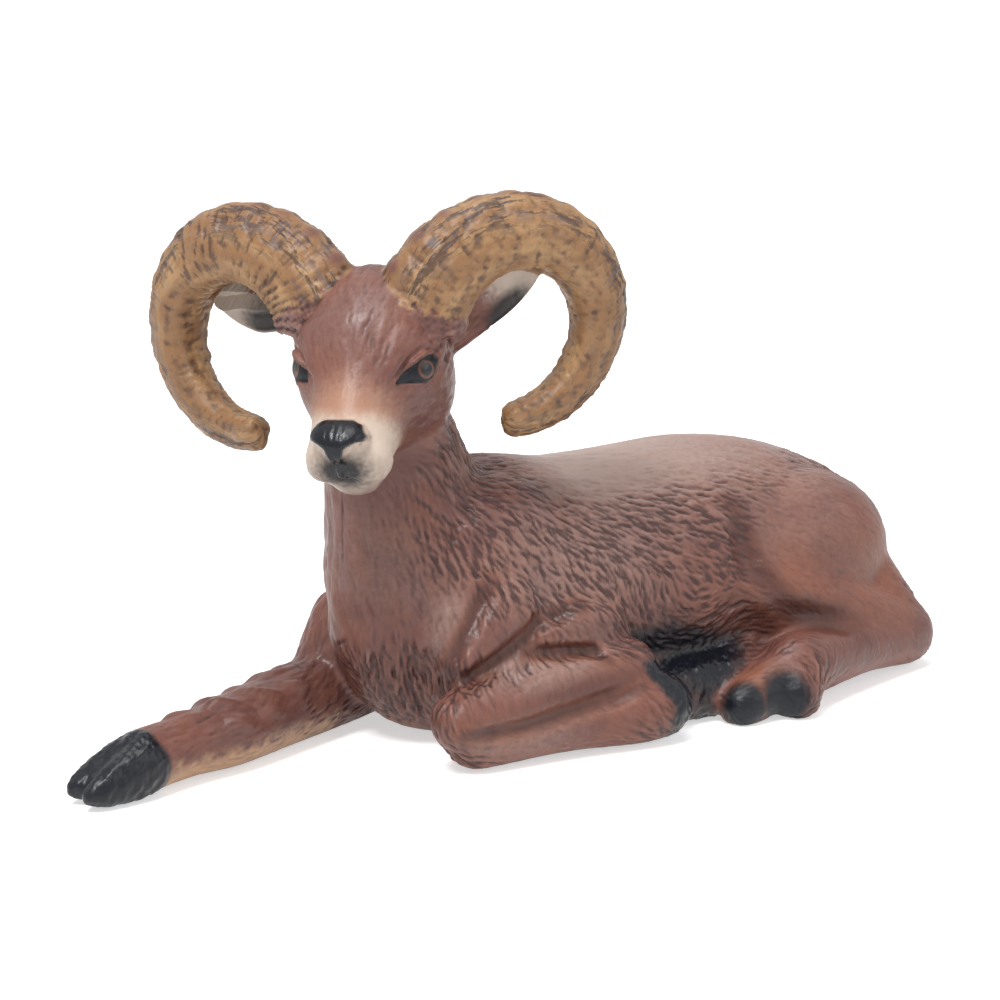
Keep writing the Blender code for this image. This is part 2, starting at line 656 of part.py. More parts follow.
def carve_ears(skin, place):
    """The hollow of each ear, on the side that faces ahead."""
    for side in (-1, 1):
        root, reach, _, face = ear_line(side)
        hollow = [root + reach * share + face * 0.7 * EAR_THICKNESS for share in (0.28, 0.5, 0.72, 0.86)]
        stroke(skin, hollow, 0.40 * EAR_WIDTH, -0.36 * EAR_THICKNESS, place)


def cut_flat(obj):
    """Everything below the table is cut away, which leaves the flat underside."""
    bpy.ops.mesh.primitive_cube_add(size=1)
    slab = bpy.context.active_object
    slab.name = "table_cut"
    slab.scale = (4 * RUMP_REACH, 4 * RUMP_REACH, BACK_HEIGHT)
    slab.location = (0, 0, -BACK_HEIGHT / 2)
    slab.hide_render = True
    slab.display_type = "WIRE"
    cut = obj.modifiers.new("cut", "BOOLEAN")
    cut.operation = "DIFFERENCE"
    cut.solver = "EXACT"
    cut.object = slab
    bpy.context.view_layer.update()
    mesh = evaluated(obj)
    bpy.data.objects.remove(slab)
    obj.modifiers.clear()
    obj.data = mesh


def thinned(obj, place):
    """Fewer triangles, most of all away from the face, with the flat underside kept flat."""
    obj.data.validate()
    corners = sum(len(p.vertices) - 2 for p in obj.data.polygons)
    yielding = obj.vertex_groups.new(name="yielding")
    eyes = place.translation
    for vertex in obj.data.vertices:
        far = (vertex.co - eyes).length / FACE_LENGTH
        yielding.add([vertex.index], min(1, 0.3 + 0.5 * far), "REPLACE")
    thin = obj.modifiers.new("thin", "DECIMATE")
    thin.vertex_group = yielding.name
    thin.vertex_group_factor = DETAIL_WEIGHT
    thin.ratio = TRIANGLES / corners
    mesh = evaluated(obj)
    obj.modifiers.clear()
    obj.data = mesh
    for vertex in mesh.vertices:
        if vertex.co.z < 0.1 * CLAY_STEP:
            vertex.co.z = 0


def paint(name, colour, roughness):
    material = bpy.data.materials.new(name)
    material.use_nodes = True
    shader = material.node_tree.nodes["Principled BSDF"]
    shader.inputs["Base Color"].default_value = (*colour, 1)
    shader.inputs["Roughness"].default_value = roughness
    shader.inputs["Metallic"].default_value = 0
    return material


def painted(obj, place):
    """Brown coat, tan horns and black hooves, each face by the middle line that it lies nearest to."""
    mesh = obj.data
    for material in (
        paint("coat", (0.20, 0.11, 0.085), 0.5),
        paint("horn", (0.40, 0.26, 0.12), 0.55),
        paint("hoof", (0.02, 0.02, 0.025), 0.35),
    ):
        mesh.materials.append(material)
    points = np.empty(len(mesh.polygons) * 3)
    mesh.polygons.foreach_get("center", points)
    points = points.reshape(-1, 3)
    kinds = np.zeros(len(mesh.polygons), dtype=np.int32)
    for side in (-1, 1):
        line = np.array([tuple(place @ horn_at(side, i / HORN_STEPS)[0]) for i in range(4, HORN_STEPS + 1)])
        kinds[distance_to_path(points, line) < 0.6 * HORN_BASE_DIAMETER] = 1
    reaching = fore_leg_reaching_line()[-1]
    hoof_tip = along(reaching, HOOF_LENGTH, 4)
    ahead = (points - np.array(reaching)) @ np.array(hoof_tip - reaching) / HOOF_LENGTH**2
    kinds[(ahead > 0.1) & (points[:, 2] < 2 * HOOF_HEIGHT)] = 2
    mesh.polygons.foreach_set("material_index", kinds)
    mesh.shade_smooth()
    mesh.set_sharp_from_angle(angle=math.radians(CREASE_ANGLE))


def centred(obj):
    """Moves the mesh so that the middle of its footprint is the origin."""
    points = np.empty(len(obj.data.vertices) * 3)
    obj.data.vertices.foreach_get("co", points)
    points = points.reshape(-1, 3)
    middle = (points.min(axis=0) + points.max(axis=0)) / 2
    obj.data.transform(Matrix.Translation((-middle[0], -middle[1], 0)))
    return Vector((-middle[0], -middle[1], 0))


def build():
    for obj in list(bpy.data.objects):
        bpy.data.objects.remove(obj)
    place = head_place()
    skin = fused(
        [
            trunk(),
            tail(),
            neck(),
            *head(place),
            *fore_leg_folded(),
            *fore_leg_reaching(),
            *hind_leg_near(),
            *hind_leg_far(),
        ],
        "skin",
        12,
    )
    carve_folds(skin)
    carve_face(skin, place)
    whole = fused(
        [skin]
        + [horn(side, place) for side in (-1, 1)]
        + [ear(side, place) for side in (-1, 1)]
        + [eyeball(side, place) for side in (-1, 1)],
        "ram_figurine",
        2,
    )
    carve_ears(whole, place)
    ram = bpy.data.objects.new("ram_figurine", whole)
    bpy.context.scene.collection.objects.link(ram)
    cut_flat(ram)
    thinned(ram, place)
    painted(ram, place)
    shift = centred(ram)
    return ram, shift


RAM, SHIFT = build()
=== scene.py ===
# Looks of the painted ram figurine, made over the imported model.
import math

import bpy
import numpy as np
from mathutils import Matrix, Vector
from mathutils.kdtree import KDTree


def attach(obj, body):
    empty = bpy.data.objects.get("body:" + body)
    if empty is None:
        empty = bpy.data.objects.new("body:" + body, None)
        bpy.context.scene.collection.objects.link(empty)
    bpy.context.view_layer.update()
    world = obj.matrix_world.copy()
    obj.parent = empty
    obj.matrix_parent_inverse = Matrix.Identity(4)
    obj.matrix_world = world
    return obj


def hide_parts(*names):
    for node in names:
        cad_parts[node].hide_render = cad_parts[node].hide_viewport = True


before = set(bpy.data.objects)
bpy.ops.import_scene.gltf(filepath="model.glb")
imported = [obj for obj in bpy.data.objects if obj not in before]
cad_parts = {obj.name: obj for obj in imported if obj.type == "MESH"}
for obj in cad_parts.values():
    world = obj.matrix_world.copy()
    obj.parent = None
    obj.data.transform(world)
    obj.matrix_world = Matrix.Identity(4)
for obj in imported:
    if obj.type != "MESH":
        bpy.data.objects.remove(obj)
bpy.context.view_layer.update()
mm = 0.001

# Everything on the animal is worked out in millimetres in the frame of the model:
# +X towards the tail, -Y out of its left side, +Z up.
skin = {"node": "ram_figurine", "weld": 0.002, "cell": 0.2, "rounding": 2, "softening": 5}

head = {
    "eyes": (-23.82, -5.61, 45.25),  # middle between the eyes
    "turn": 40,
    "drop": 48,
    "tilt": 4,
}


def unit(v):
    v = np.asarray(v, float)
    return v / np.linalg.norm(v)


def fade(low, high, x):
    t = np.clip((x - low) / (high - low), 0, 1)
    return t * t * (3 - 2 * t)


def headAxes():
    turn, drop, tilt = (math.radians(head[k]) for k in ("turn", "drop", "tilt"))
    nose = Vector((-math.cos(turn) * math.cos(drop), -math.sin(turn) * math.cos(drop), -math.sin(drop)))
    left = Vector((math.sin(turn), -math.cos(turn), 0))
    axes = Matrix((nose, left, nose.cross(left))).transposed() @ Matrix.Rotation(tilt, 3, "X")
    return np.array(axes)


headTurned = headAxes()
headPlace = np.array(head["eyes"])


def toHead(points):
    return (points - headPlace) @ headTurned


def fromHead(points):
    return np.asarray(points, float) @ headTurned.T + headPlace


def addObject(name, data):
    added = bpy.data.objects.new(name, data)
    bpy.context.scene.collection.objects.link(added)
    return added


# a fine even skin, without the flat facets of the solid
def fineSkin():
    draft = addObject("draft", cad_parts[skin["node"]].data.copy())
    joined = draft.modifiers.new("joined", "WELD")
    joined.merge_threshold = skin["weld"] * mm
    rounded = draft.modifiers.new("rounded", "SUBSURF")
    rounded.levels = rounded.render_levels = skin["rounding"]
    even = draft.modifiers.new("even", "REMESH")
    even.mode = "VOXEL"
    even.voxel_size = skin["cell"] * mm
    soft = draft.modifiers.new("soft", "SMOOTH")
    soft.iterations = skin["softening"]
    graph = bpy.context.evaluated_depsgraph_get()
    mesh = bpy.data.meshes.new_from_object(draft.evaluated_get(graph))
    bpy.data.objects.remove(draft)
    return mesh


# the skin as arrays: points in millimetres, four corners for each face, and its tool marks
class Clay:
    def __init__(self, mesh):
        count = len(mesh.vertices)
        flat = np.empty(count * 3)
        mesh.vertices.foreach_get("co", flat)
        self.points = flat.reshape(-1, 3) / mm
        corners = np.empty(len(mesh.loops), int)
        mesh.loops.foreach_get("vertex_index", corners)
        self.quads = corners.reshape(-1, 4)
        self.relief = np.zeros(count)
        self.findNormals()

    def findNormals(self):
        a, b, c, d = (self.points[self.quads[:, k]] for k in range(4))
        across = np.cross(c - a, d - b)
        total = np.stack(
            [
                np.bincount(self.quads.ravel(), np.repeat(across[:, k], 4), len(self.points))
                for k in range(3)
            ],
            axis=1,
        )
        self.normals = total / np.maximum(np.linalg.norm(total, axis=1), 1e-9)[:, None]

    # moves the skin out by a height; mark is the share of it that takes paint as a tool mark does
    def push(self, height, mark=1.0):
        self.points = self.points + self.normals * height[:, None]
        self.relief += height * mark
        self.findNormals()


def smoothPath(stops, steps=8):
    rows = np.array(stops, float)
    if len(rows) < 3:
        return rows
    padded = np.vstack([2 * rows[0] - rows[1], rows, 2 * rows[-1] - rows[-2]])
    out = []
    for i in range(len(rows) - 1):
        p0, p1, p2, p3 = padded[i : i + 4]
        for k in range(steps):
            t = k / steps
            square = 2 * p0 - 5 * p1 + 4 * p2 - p3
            cubic = 3 * p1 - p0 - 3 * p2 + p3
            out.append(0.5 * (2 * p1 + (p2 - p0) * t + square * t**2 + cubic * t**3))
    return np.array([*out, rows[-1]])


# each point's distance to a path, and how far along it the nearest place is
def pathDistance(points, path):
    best = np.full(len(points), np.inf)
    share = np.zeros(len(points))
    lengths = np.linalg.norm(np.diff(path, axis=0), axis=1)
    gone = 0
    for a, b, length in zip(path[:-1], path[1:], lengths):
        run = b - a
        t = np.clip((points - a) @ run / max(length**2, 1e-12), 0, 1)
        away = np.linalg.norm(points - a - t[:, None] * run, axis=1)
        nearer = away < best
        best[nearer] = away[nearer]
        share[nearer] = ((gone + t * length) / lengths.sum())[nearer]
        gone += length
    return best, share


# a groove or a ridge along a path, fading out at its ends
def carve(clay, stops, width, height, ends=0.15, mark=1.0):
    away, share = pathDistance(clay.points, smoothPath(stops))
    across = np.clip(1 - (away / width) ** 2, 0, 1) ** 2
    fading = fade(0, ends, share) * fade(0, ends, 1 - share) if ends else 1
    clay.push(height * across * fading, mark)


# uneven waves over the surface, for wobble and worn paint
def ripple(points, size, seed, waves=7):
    rng = np.random.default_rng(seed)
    total = np.zeros(len(points))
    for _ in range(waves):
        heading = unit(rng.normal(size=3)) * rng.uniform(0.6, 1.6)
        total += np.sin(points @ heading * (2 * math.pi / size) + rng.uniform(0, 2 * math.pi))
    return total / math.sqrt(waves)


# folds and swellings of the body
folds = {
    "thighEdge": {
        "path": (
            (23.8, -11.8, 23),
            (24.2, -13.4, 18),
            (25.6, -14.9, 14.4),
            (28.4, -15.9, 11.2),
            (37.3, -18.5, 7.3),
        ),
        "width": 2.6,
        "depth": 0.75,
    },
    "breastFold": {
        "path": (
            (-11.8, -11.8, 19.6),
            (-14.8, -12.2, 15.2),
            (-16.8, -12, 12.4),
            (-17.4, -10.8, 9.8),
            (-16.5, -8.4, 7),
        ),
        "width": 1.8,
        "depth": 0.65,
    },
    "shoulderFold": {
        "path": (
            (-1.4, -14.9, 16.1),
            (-6.4, -14.2, 14.9),
            (-8.7, -14.2, 13.2),
            (-13.2, -13.6, 11.4),
            (-17, -12.9, 9.8),
        ),
        "width": 1.7,
        "depth": 0.65,
    },
    "elbowFold": {
        "path": (
            (-9.2, -14.5, 12.2),
            (-6.5, -15, 11.8),
            (-3.6, -15.8, 11.7),
            (-1.0, -16.5, 11.2),
            (0.2, -17.6, 10.0),
        ),
        "width": 1.3,
        "depth": 0.65,
    },
    "cannonGroove": {
        "path": (
            (-19, -17.2, 5.2),
            (-12.3, -18, 5.0),
            (-5.9, -18.6, 5.7),
            (-0.9, -19.4, 6.3),
            (3.4, -20, 7.2),
        ),
        "width": 1.7,
        "depth": 0.65,
    },
}
swellings = {
    "shoulder": {"path": ((-13.6, -10.8, 18.5), (-16, -10.8, 14.5)), "width": 3.2, "height": 0.55},
    "upperArm": {
        "path": ((-6.5, -13.8, 16.6), (-11, -13.4, 14.4), (-15.6, -12.8, 11.4)),
        "width": 1.6,
        "height": 0.4,
    },
    "elbow": {"path": ((-6, -14.8, 13.6), (-1.5, -15.8, 13)), "width": 1.9, "height": 0.35},
    "knee": {"path": ((-20, -16, 8), (-20.6, -16, 5)), "width": 2.2, "height": 0.25},
    "stifle": {"path": ((26, -14.5, 16), (29, -15.8, 12.5)), "width": 2.8, "height": 0.35},
}
# witness lines of the mould halves, down the throat and over the reaching shoulder
seams = {
    "throat": ((-23.4, -0.9, 30), (-23.3, -0.7, 25.8), (-23.3, -0.8, 21)),
    "reachingShoulder": ((-25, 7.5, 8.2), (-24.2, 5.0, 8.8), (-23.5, 1.5, 11.2), (-23.2, -1.8, 13.3)),
}


def pressFolds(clay):
    for fold in folds.values():
        carve(clay, fold["path"], fold["width"], -fold["depth"], mark=0.07)
    for swelling in swellings.values():
        carve(clay, swelling["path"], swelling["width"], swelling["height"], ends=0, mark=0)
    for path in seams.values():
        carve(clay, path, 0.34, -0.12)
    print("folds pressed in")


# eyes
eye = {
    "middle": (1.6, 6.5, 0.6),  # in the head's own directions, for the left eye
    "towardsNose": (0.733, -0.55, 0.40),
    "outward": (0.30, 0.74, 0.60),
    "ballRadius": 2.3,
    "ballMiddle": (-0.75, -0.55),
    "ballFlatness": 0.85,
    "ballRise": 0.42,  # of its top over the face
    "ballDepth": 0.75,  # of its lowest part under the face
    "irisRadius": 1.0,
    "pupilRadius": 0.7,
    "lidHeight": 0.26,
    "browHeight": 0.42,
    "creaseDepth": 0.12,
    # the outline from the outer corner to the tear duct: along, upper lid, lower lid
    "outline": (
        (-2.9, -0.30, -0.30),
        (-2.3, 0.35, -0.95),
        (-1.3, 0.66, -1.62),
        (-0.2, 0.66, -1.72),
        (1.1, 0.30, -1.15),
        (2.2, -0.05, -0.62),
        (3.1, -0.30, -0.30),
    ),
}


# the eye's own coordinates: along it to the nose, up, and outward
def eyeSpace(points, side):
    mirror = np.array((1, side, 1))
    nose = unit(np.array(eye["towardsNose"]) * mirror)
    out = np.array(eye["outward"]) * mirror
    out = unit(out - nose * out.dot(nose))
    up = np.cross(nose, out) * side
    return (toHead(points) - np.array(eye["middle"]) * mirror) @ np.stack([nose, up, out], axis=1)


def within(a, b, c, limits):
    return (np.abs(a) < limits[0]) & (np.abs(b) < limits[1]) & (np.abs(c) < limits[2])


# distance inside the outline of the eye, negative outside
def almond(a, b):
    along, top, low = np.array(eye["outline"]).T
    ends = np.minimum(a - along[0], along[-1] - a)
    return np.minimum(ends, np.minimum(np.interp(a, along, top) - b, b - np.interp(a, along, low)))


def shapeEyes(clay):
    for side in (1, -1):
        a, b, c = eyeSpace(clay.points, side).T
        near = within(a, b, c, (4.5, 4, 3.2))
        inside = almond(a, b)
        radius = eye["ballRadius"]
        ballA, ballB = eye["ballMiddle"]
        apart = ((a - ballA) * eye["ballFlatness"]) ** 2
        bulge = np.sqrt(np.maximum(radius**2 - apart - (b - ballB) ** 2, 0)) - radius
        rimPoints = near & (inside > -0.5) & (inside < 0)
        slope = np.polyfit(a[rimPoints], c[rimPoints], 1)
        level = np.polyval(slope, a) + eye["ballRise"]
        target = np.maximum(level + bulge, level - eye["ballDepth"])
        out = np.where(near, fade(-0.2, 0.12, inside), 0)
        push = np.where(near, (target - c) * out, 0)
        outward = headTurned @ (unit(eye["outward"]) * np.array((1, side, 1)))
        clay.points = clay.points + outward * push[:, None]
        clay.findNormals()
        above = fade(-0.5, 0.3, b - np.interp(a, *np.array(eye["outline"]).T[:2]))
        rim = np.exp(-(((inside + 0.38) / 0.24) ** 2)) * (0.6 + 0.6 * above)
        brow = np.exp(-(((inside + 1.5) / 0.65) ** 2)) * above * fade(-3.4, -1.5, a) * fade(4, 2.5, a)
        crease = np.exp(-(((inside + 0.78) / 0.2) ** 2)) * above
        height = eye["lidHeight"] * rim + eye["browHeight"] * brow - eye["creaseDepth"] * crease
        clay.push(np.where(near, height, 0), mark=0)
    print("eyes shaped")


# nose and mouth, in the head's own directions
muzzle = {
    # half the width of the black nose, down from the top of the pad to the lip
    "padSteps": (6.8, 7.3, 8.5, 9.0, 9.4, 9.9, 10.8, 12.9),
    "padHalves": (1.5, 2.5, 3.15, 2.95, 1.9, 1.15, 0.85, 0.55),
    "padRise": 0.4,
    "nostril": ((10.4, 1.7, 3.1), (11.2, 2.1, 2.9), (12.0, 1.9, 2.4)),
    "nostrilWidth": 0.7,
    "nostrilDepth": 0.8,
    "stem": ((13.6, 0, 2.6), (14.2, 0, 0.8), (14.2, 0, -0.8)),
    "mouth": ((14.4, 0, -1.0), (13.8, 1.9, -1.9), (12.0, 3.9, -2.8), (9.2, 5.0, -4.0)),
    "mouthDepth": 0.5,
}


# how far down the face a point lies, as the head hangs
def downFace(local):
    return 0.879 * local[:, 0] - 0.475 * local[:, 2]


def shapeMuzzle(clay):
    local = toHead(clay.points)
    pad = noseMask(local)
    down = downFace(local)
    clay.push(muzzle["padRise"] * fade(-0.15, 0.45, pad), mark=0)
    ridges = np.cos(local[:, 1] * 2 * math.pi / 0.75) * fade(1.5, 1.1, np.abs(local[:, 1]))
    clay.push(-0.07 * np.maximum(ridges, 0) * fade(0, 0.4, pad) * fade(9.3, 8.8, down))
    for side in (1, -1):
        mirror = np.array((1, side, 1))
        nostril = fromHead(np.array(muzzle["nostril"]) * mirror)
        carve(clay, nostril, muzzle["nostrilWidth"], -muzzle["nostrilDepth"])
        mouth = fromHead(np.array(muzzle["mouth"]) * mirror)
        carve(clay, mouth, 0.55, -muzzle["mouthDepth"], ends=0.1)
        carve(clay, mouth + headTurned @ np.array((0.6, 0, 1.0)), 0.9, 0.18, ends=0.2, mark=0)
    carve(clay, fromHead(muzzle["stem"]), 0.35, -0.3)
    print("muzzle shaped")


# inside the black nose: a pad with two wings, and the stem down to the lip
def noseMask(local):
    down = downFace(local)
    half = np.interp(down, muzzle["padSteps"], muzzle["padHalves"])
    ends = np.minimum(down - muzzle["padSteps"][0], muzzle["padSteps"][-1] - down)
    inside = np.minimum(half - np.abs(local[:, 1]), ends)
    return np.where((local[:, 0] > 7) & (local[:, 2] > -2.5), inside, -9)


# horns, in the head's own directions
horn = {
    "root": (-8.17, 6.5, 0.37),
    "inset": 0.39,  # both roots sit this much to the ram's right
    "radius": 10.1,
    "base": 10.0,
    "tip": 3.8,
    "sweep": {1: 38, -1: 22},
    "rake": {1: 34, -1: 44},
    "start": 145,
    "turn": 254,
    "drift": 4.0,
    "hidden": 0.09,  # share of the length that reaches down into the skull
    "furEnd": -1.5,  # where the coat stops, from the root
    "wrinkleSpacing": 1.2,
    "wrinkleHeight": {1: 0.07, -1: 0.34},
    "ringRise": 0.16,
    "ringCut": 0.1,
    "rings": {1: (0.13, 0.23, 0.30, 0.44, 0.58, 0.71), -1: (0.1, 0.17, 0.25, 0.37, 0.5, 0.66)},
}


def hornLength():
    return math.radians(horn["turn"]) * horn["radius"]


# a horn's middle line, and the way out from its curl, in the model's frame
def hornLine(side, steps=130):
    sweep, rake = math.radians(horn["sweep"][side]), math.radians(horn["rake"][side])
    upright = np.array((-math.sin(rake), 0, math.cos(rake)))
    ahead = np.array((math.cos(rake), 0, math.sin(rake)))
    outward = np.array((0, side * math.cos(sweep), 0)) - ahead * math.sin(sweep)
    normal = ahead * math.cos(sweep) + np.array((0, side * math.sin(sweep), 0))
    root = np.array((horn["root"][0], side * horn["root"][1] - horn["inset"], horn["root"][2]))
    start = math.radians(horn["start"])
    centre = root - horn["radius"] * (outward * math.cos(start) + upright * math.sin(start))
    share = np.linspace(-horn["hidden"], 1, steps)
    angle = start - math.radians(horn["turn"]) * share
    radial = outward * np.cos(angle)[:, None] + upright * np.sin(angle)[:, None]
    drift = normal * (horn["drift"] * np.maximum(share, 0) ** 1.5)[:, None]
    line = centre + radial * horn["radius"] + drift
    return fromHead(line), radial @ headTurned.T, headTurned @ normal, share


# for each point near a horn: depth inside its own surface, share of the length and angle round it
def hornSpace(points, side):
    line, radial, normal, steps = hornLine(side)
    share = np.full(len(points), -1.0)
    angle = np.zeros(len(points))
    inside = np.full(len(points), -9.0)
    low, high = line.min(axis=0) - 7, line.max(axis=0) + 7
    near = np.where(((points > low) & (points < high)).all(axis=1))[0]
    gaps = np.linalg.norm(points[near, None, :] - line[None], axis=2)
    nearest = gaps.argmin(axis=1)
    rel = points[near] - line[nearest]
    share[near] = steps[nearest]
    radius = 0.5 * (horn["base"] + (horn["tip"] - horn["base"]) * share[near])
    inside[near] = radius + 0.45 - gaps.min(axis=1)
    angle[near] = np.arctan2(rel @ normal, (rel * radial[nearest]).sum(axis=1))
    return inside, share, angle


def ringHorns(clay):
    length = hornLength()
    for side in (1, -1):
        inside, share, angle = hornSpace(clay.points, side)
        on = fade(0, 0.5, inside)
        along = share * length
        slant = 0.7 * np.cos(angle) + 0.4 * np.sin(angle)
        phase = (along + slant + 0.5 * ripple(clay.points, 6, 11 + side)) / horn["wrinkleSpacing"]
        fine = 0.64 - np.abs(np.sin(math.pi * phase))
        strength = 0.25 + 0.75 * fade(0.5, 0.1, share)
        least = 0.35 * fade(0.35, 0.2, share)
        patchy = np.clip(0.6 + 0.6 * ripple(clay.points, 8, 21 + side), least, 1.2)
        height = -horn["wrinkleHeight"][side] * fine * strength * patchy
        for k, ring in enumerate(horn["rings"][side]):
            step = (share - ring) * length + slant + 0.35 * ripple(clay.points, 6, 31 + k)
            partly = np.clip(0.5 + 0.7 * ripple(clay.points, 9, 51 + k), 0, 1)
            rise = horn["ringRise"] * np.exp(-(((step + 0.7) / 0.6) ** 2))
            height += (rise - horn["ringCut"] * np.exp(-((step / 0.3) ** 2))) * partly
        grain = np.sin(angle * 9 + 1.2 * ripple(clay.points, 7, 61))
        grain = grain * np.clip(ripple(clay.points, 5, 62), 0, 1)
        pits = 0.05 * ripple(clay.points, 1.4, 41 + side)
        height += 0.07 * grain + pits + 0.025 * ripple(clay.points, 0.7, 43)
        clay.push(height * on)
    print("horns ringed")


# fur, cut into the clay as short strokes that follow the coat
fur = {
    "seed": 7,
    "clumps": {"length": 3.4, "half": 0.62, "depth": 0.17, "perSquare": 0.5, "raised": 0.5, "mark": 0.15},
    "coarse": {"length": 2.0, "half": 0.23, "depth": 0.19, "perSquare": 1.8, "raised": 0.06, "mark": 1.0},
    "fine": {"length": 1.4, "half": 0.2, "depth": 0.05, "perSquare": 1.0, "raised": 0.35, "mark": 0.8},
}

# which way the hair lies: place, heading and how far that rule reaches
coatGuides = (
    ((5, -14, 20), (1, 0, -0.95), 8),
    ((-4, -13, 23), (0.9, -0.1, -1.05), 7),
    ((13, -12, 24), (1, 0, -0.7), 6),
    ((15, 0, 29), (1, 0, 0), 8),
    ((-2, 0, 31), (0.95, 0, -0.3), 6),
    ((32, -11, 22), (0.85, -0.1, -0.45), 9),
    ((42, -15, 12), (0.8, 0, -0.6), 8),
    ((54, 0, 14), (0.25, 0, -1), 7),
    ((-12, -10, 27), (0.75, -0.2, -1), 6),
    ((-19, -7, 31), (0.35, -0.15, -1), 5),
    ((-24, -1, 27), (0, 0, -1), 7),
    ((-21, -4, 14), (0.1, -0.1, -1), 6),
    ((-10, -12, 20), (0.6, -0.1, -1), 5),
    ((-10, -13.5, 15), (0.3, 0, -1), 4),
    ((-2, -16, 13), (0.9, -0.3, -0.6), 4),
    ((-14, 4, 38), (0.5, 0.1, -0.9), 7),
    ((-7, -18, 9), (-1, 0, -0.1), 5),
    ((-8, -18, 3), (1, -0.1, 0.0), 5),
    ((-30, 5, 6), (-0.95, -0.2, -0.1), 7),
    ((-44, 2, 5), (-0.95, -0.2, -0.1), 6),
    ((35, -19, 3.5), (-1, -0.1, 0), 5),
    ((30, -16, 14), (0.8, 0, -0.6), 5),
    ((5, 14, 20), (1, 0, -0.95), 8),
    ((32, 11, 22), (0.85, 0.1, -0.45), 9),
    ((42, 12, 10), (0.8, 0, -0.6), 8),
    ((-12, 11, 22), (0.6, 0.2, -0.95), 7),
    ((-14, 9, 31), (0.5, 0.1, -1), 6),
)
# the same on the head, in its own directions and for its left side
faceGuides = (
    ((-2, 2.5, 5), (-1, 0.55, 0.3), 3),
    ((-5, 1.5, 5), (-1, 0.4, 0.2), 3),
    ((3, 1.5, 4.5), (-1, 0.25, 0.1), 3),
    ((8, 2, 3), (-1, 0.2, 0.1), 3),
    ((4, 6, -2), (-0.9, 0.15, -0.45), 4),
    ((-3, 8, -4), (-0.8, 0.3, -0.5), 4),
    ((11, 4, -2), (-0.8, 0.3, -0.5), 3),
    ((-11, 12, -4.5), (-0.69, 0.7, 0.18), 5),
    ((3, 3, -9), (-0.4, 0.2, -1), 4),
)
flankSwirl = {"middle": (16.8, -14, 16.8), "reach": 7.0}


def blendGuides(points, guides):
    flow = np.zeros_like(points)
    for place, heading, reach in guides:
        away = np.linalg.norm(points - place, axis=1)
        flow += np.outer(np.exp(-0.5 * (away / reach) ** 2) + 1e-9, unit(heading))
    return flow / np.maximum(np.linalg.norm(flow, axis=1), 1e-12)[:, None]


def nearHead(points):
    return np.linalg.norm(toHead(points) - (-1, 0, -2), axis=1)


def furFlow(clay):
    flow = blendGuides(clay.points, coatGuides)
    faces = []
    for place, heading, reach in faceGuides:
        for side in (1, -1):
            mirror = np.array((1, side, 1))
            faces.append((fromHead(place * mirror), headTurned @ (heading * mirror), reach))
    onHead = fade(15, 12, nearHead(clay.points))[:, None]
    flow = flow * (1 - onHead) + blendGuides(clay.points, faces) * onHead
    rel = clay.points - np.array(flankSwirl["middle"])
    away = np.linalg.norm(rel, axis=1)
    swirl = np.stack([-rel[:, 2], np.zeros(len(rel)), rel[:, 0]], axis=1)
    swirl = swirl / np.maximum(away, 0.5)[:, None]
    below = fade(-0.5, -3.5, rel[:, 0] * 0.35 + rel[:, 2] * 0.93)
    weight = np.exp(-0.5 * (away / flankSwirl["reach"]) ** 2) * (clay.points[:, 1] < -6) * 2.0 * below
    flow = flow * (1 - np.minimum(weight, 0.9))[:, None] + swirl * weight[:, None]
    flow -= clay.normals * (flow * clay.normals).sum(axis=1)[:, None]
    return flow / np.maximum(np.linalg.norm(flow, axis=1), 1e-6)[:, None]


def plantTree(points):
    tree = KDTree(len(points))
    for i, p in enumerate(points):
        tree.insert(p, i)
    tree.balance()
    return tree


def combFur(clay, tree, weight, kind, seed):
    style = fur[kind]
    rng = np.random.default_rng(seed)
    flow = furFlow(clay)
    spots = weight.sum() * skin["cell"] ** 2 * style["perSquare"]
    chosen = rng.choice(len(weight), int(spots), p=weight / weight.sum())
    height = np.zeros(len(weight))
    done = 0
    for i in chosen:
        if abs(height[i]) > 0.3 * style["depth"] * weight[i]:
            continue  # a stroke is here already
        p, n = clay.points[i], clay.normals[i]
        heading = unit(flow[i] + np.cross(n, flow[i]) * rng.normal(0, 0.13))
        side = np.cross(n, heading)
        length = style["length"] * rng.uniform(0.6, 1.35)
        half = style["half"] * rng.uniform(0.8, 1.25)
        found = [f[1] for f in tree.find_range(p, length / 2 + half)]
        rel = clay.points[found] - p
        u = rel @ heading / (length / 2)
        v = rel @ side / half + rng.normal(0, 0.5) * u**2
        along = np.clip(1 - u**2, 0, 1) * (0.65 + 0.35 * u)
        cut = np.clip(1 - v**2, 0, 1) - 0.3 * np.exp(-(((np.abs(v) - 1.5) / 0.45) ** 2))
        sign = 0.75 if rng.random() < style["raised"] else -1
        height[found] += sign * style["depth"] * rng.uniform(0.6, 1.15) * along * cut * weight[i]
        done += 1
    clay.push(np.clip(height, -1.5 * style["depth"], 1.1 * style["depth"]), mark=style["mark"])
    print("fur combed:", kind, done, "strokes")


# ears, in the head's own directions and for the left one
ear = {
    "root": (-6.3, 7.22, -5.9),
    "reach": (-9.67, 9.81, 2.52),
    "across": (0.24, 0.46, -0.86),
    # the right ear hangs lower than the left one, turned about an axis of the model
    "droop": 30,
    "droopAxis": (-0.597, -0.765, 0.242),
}


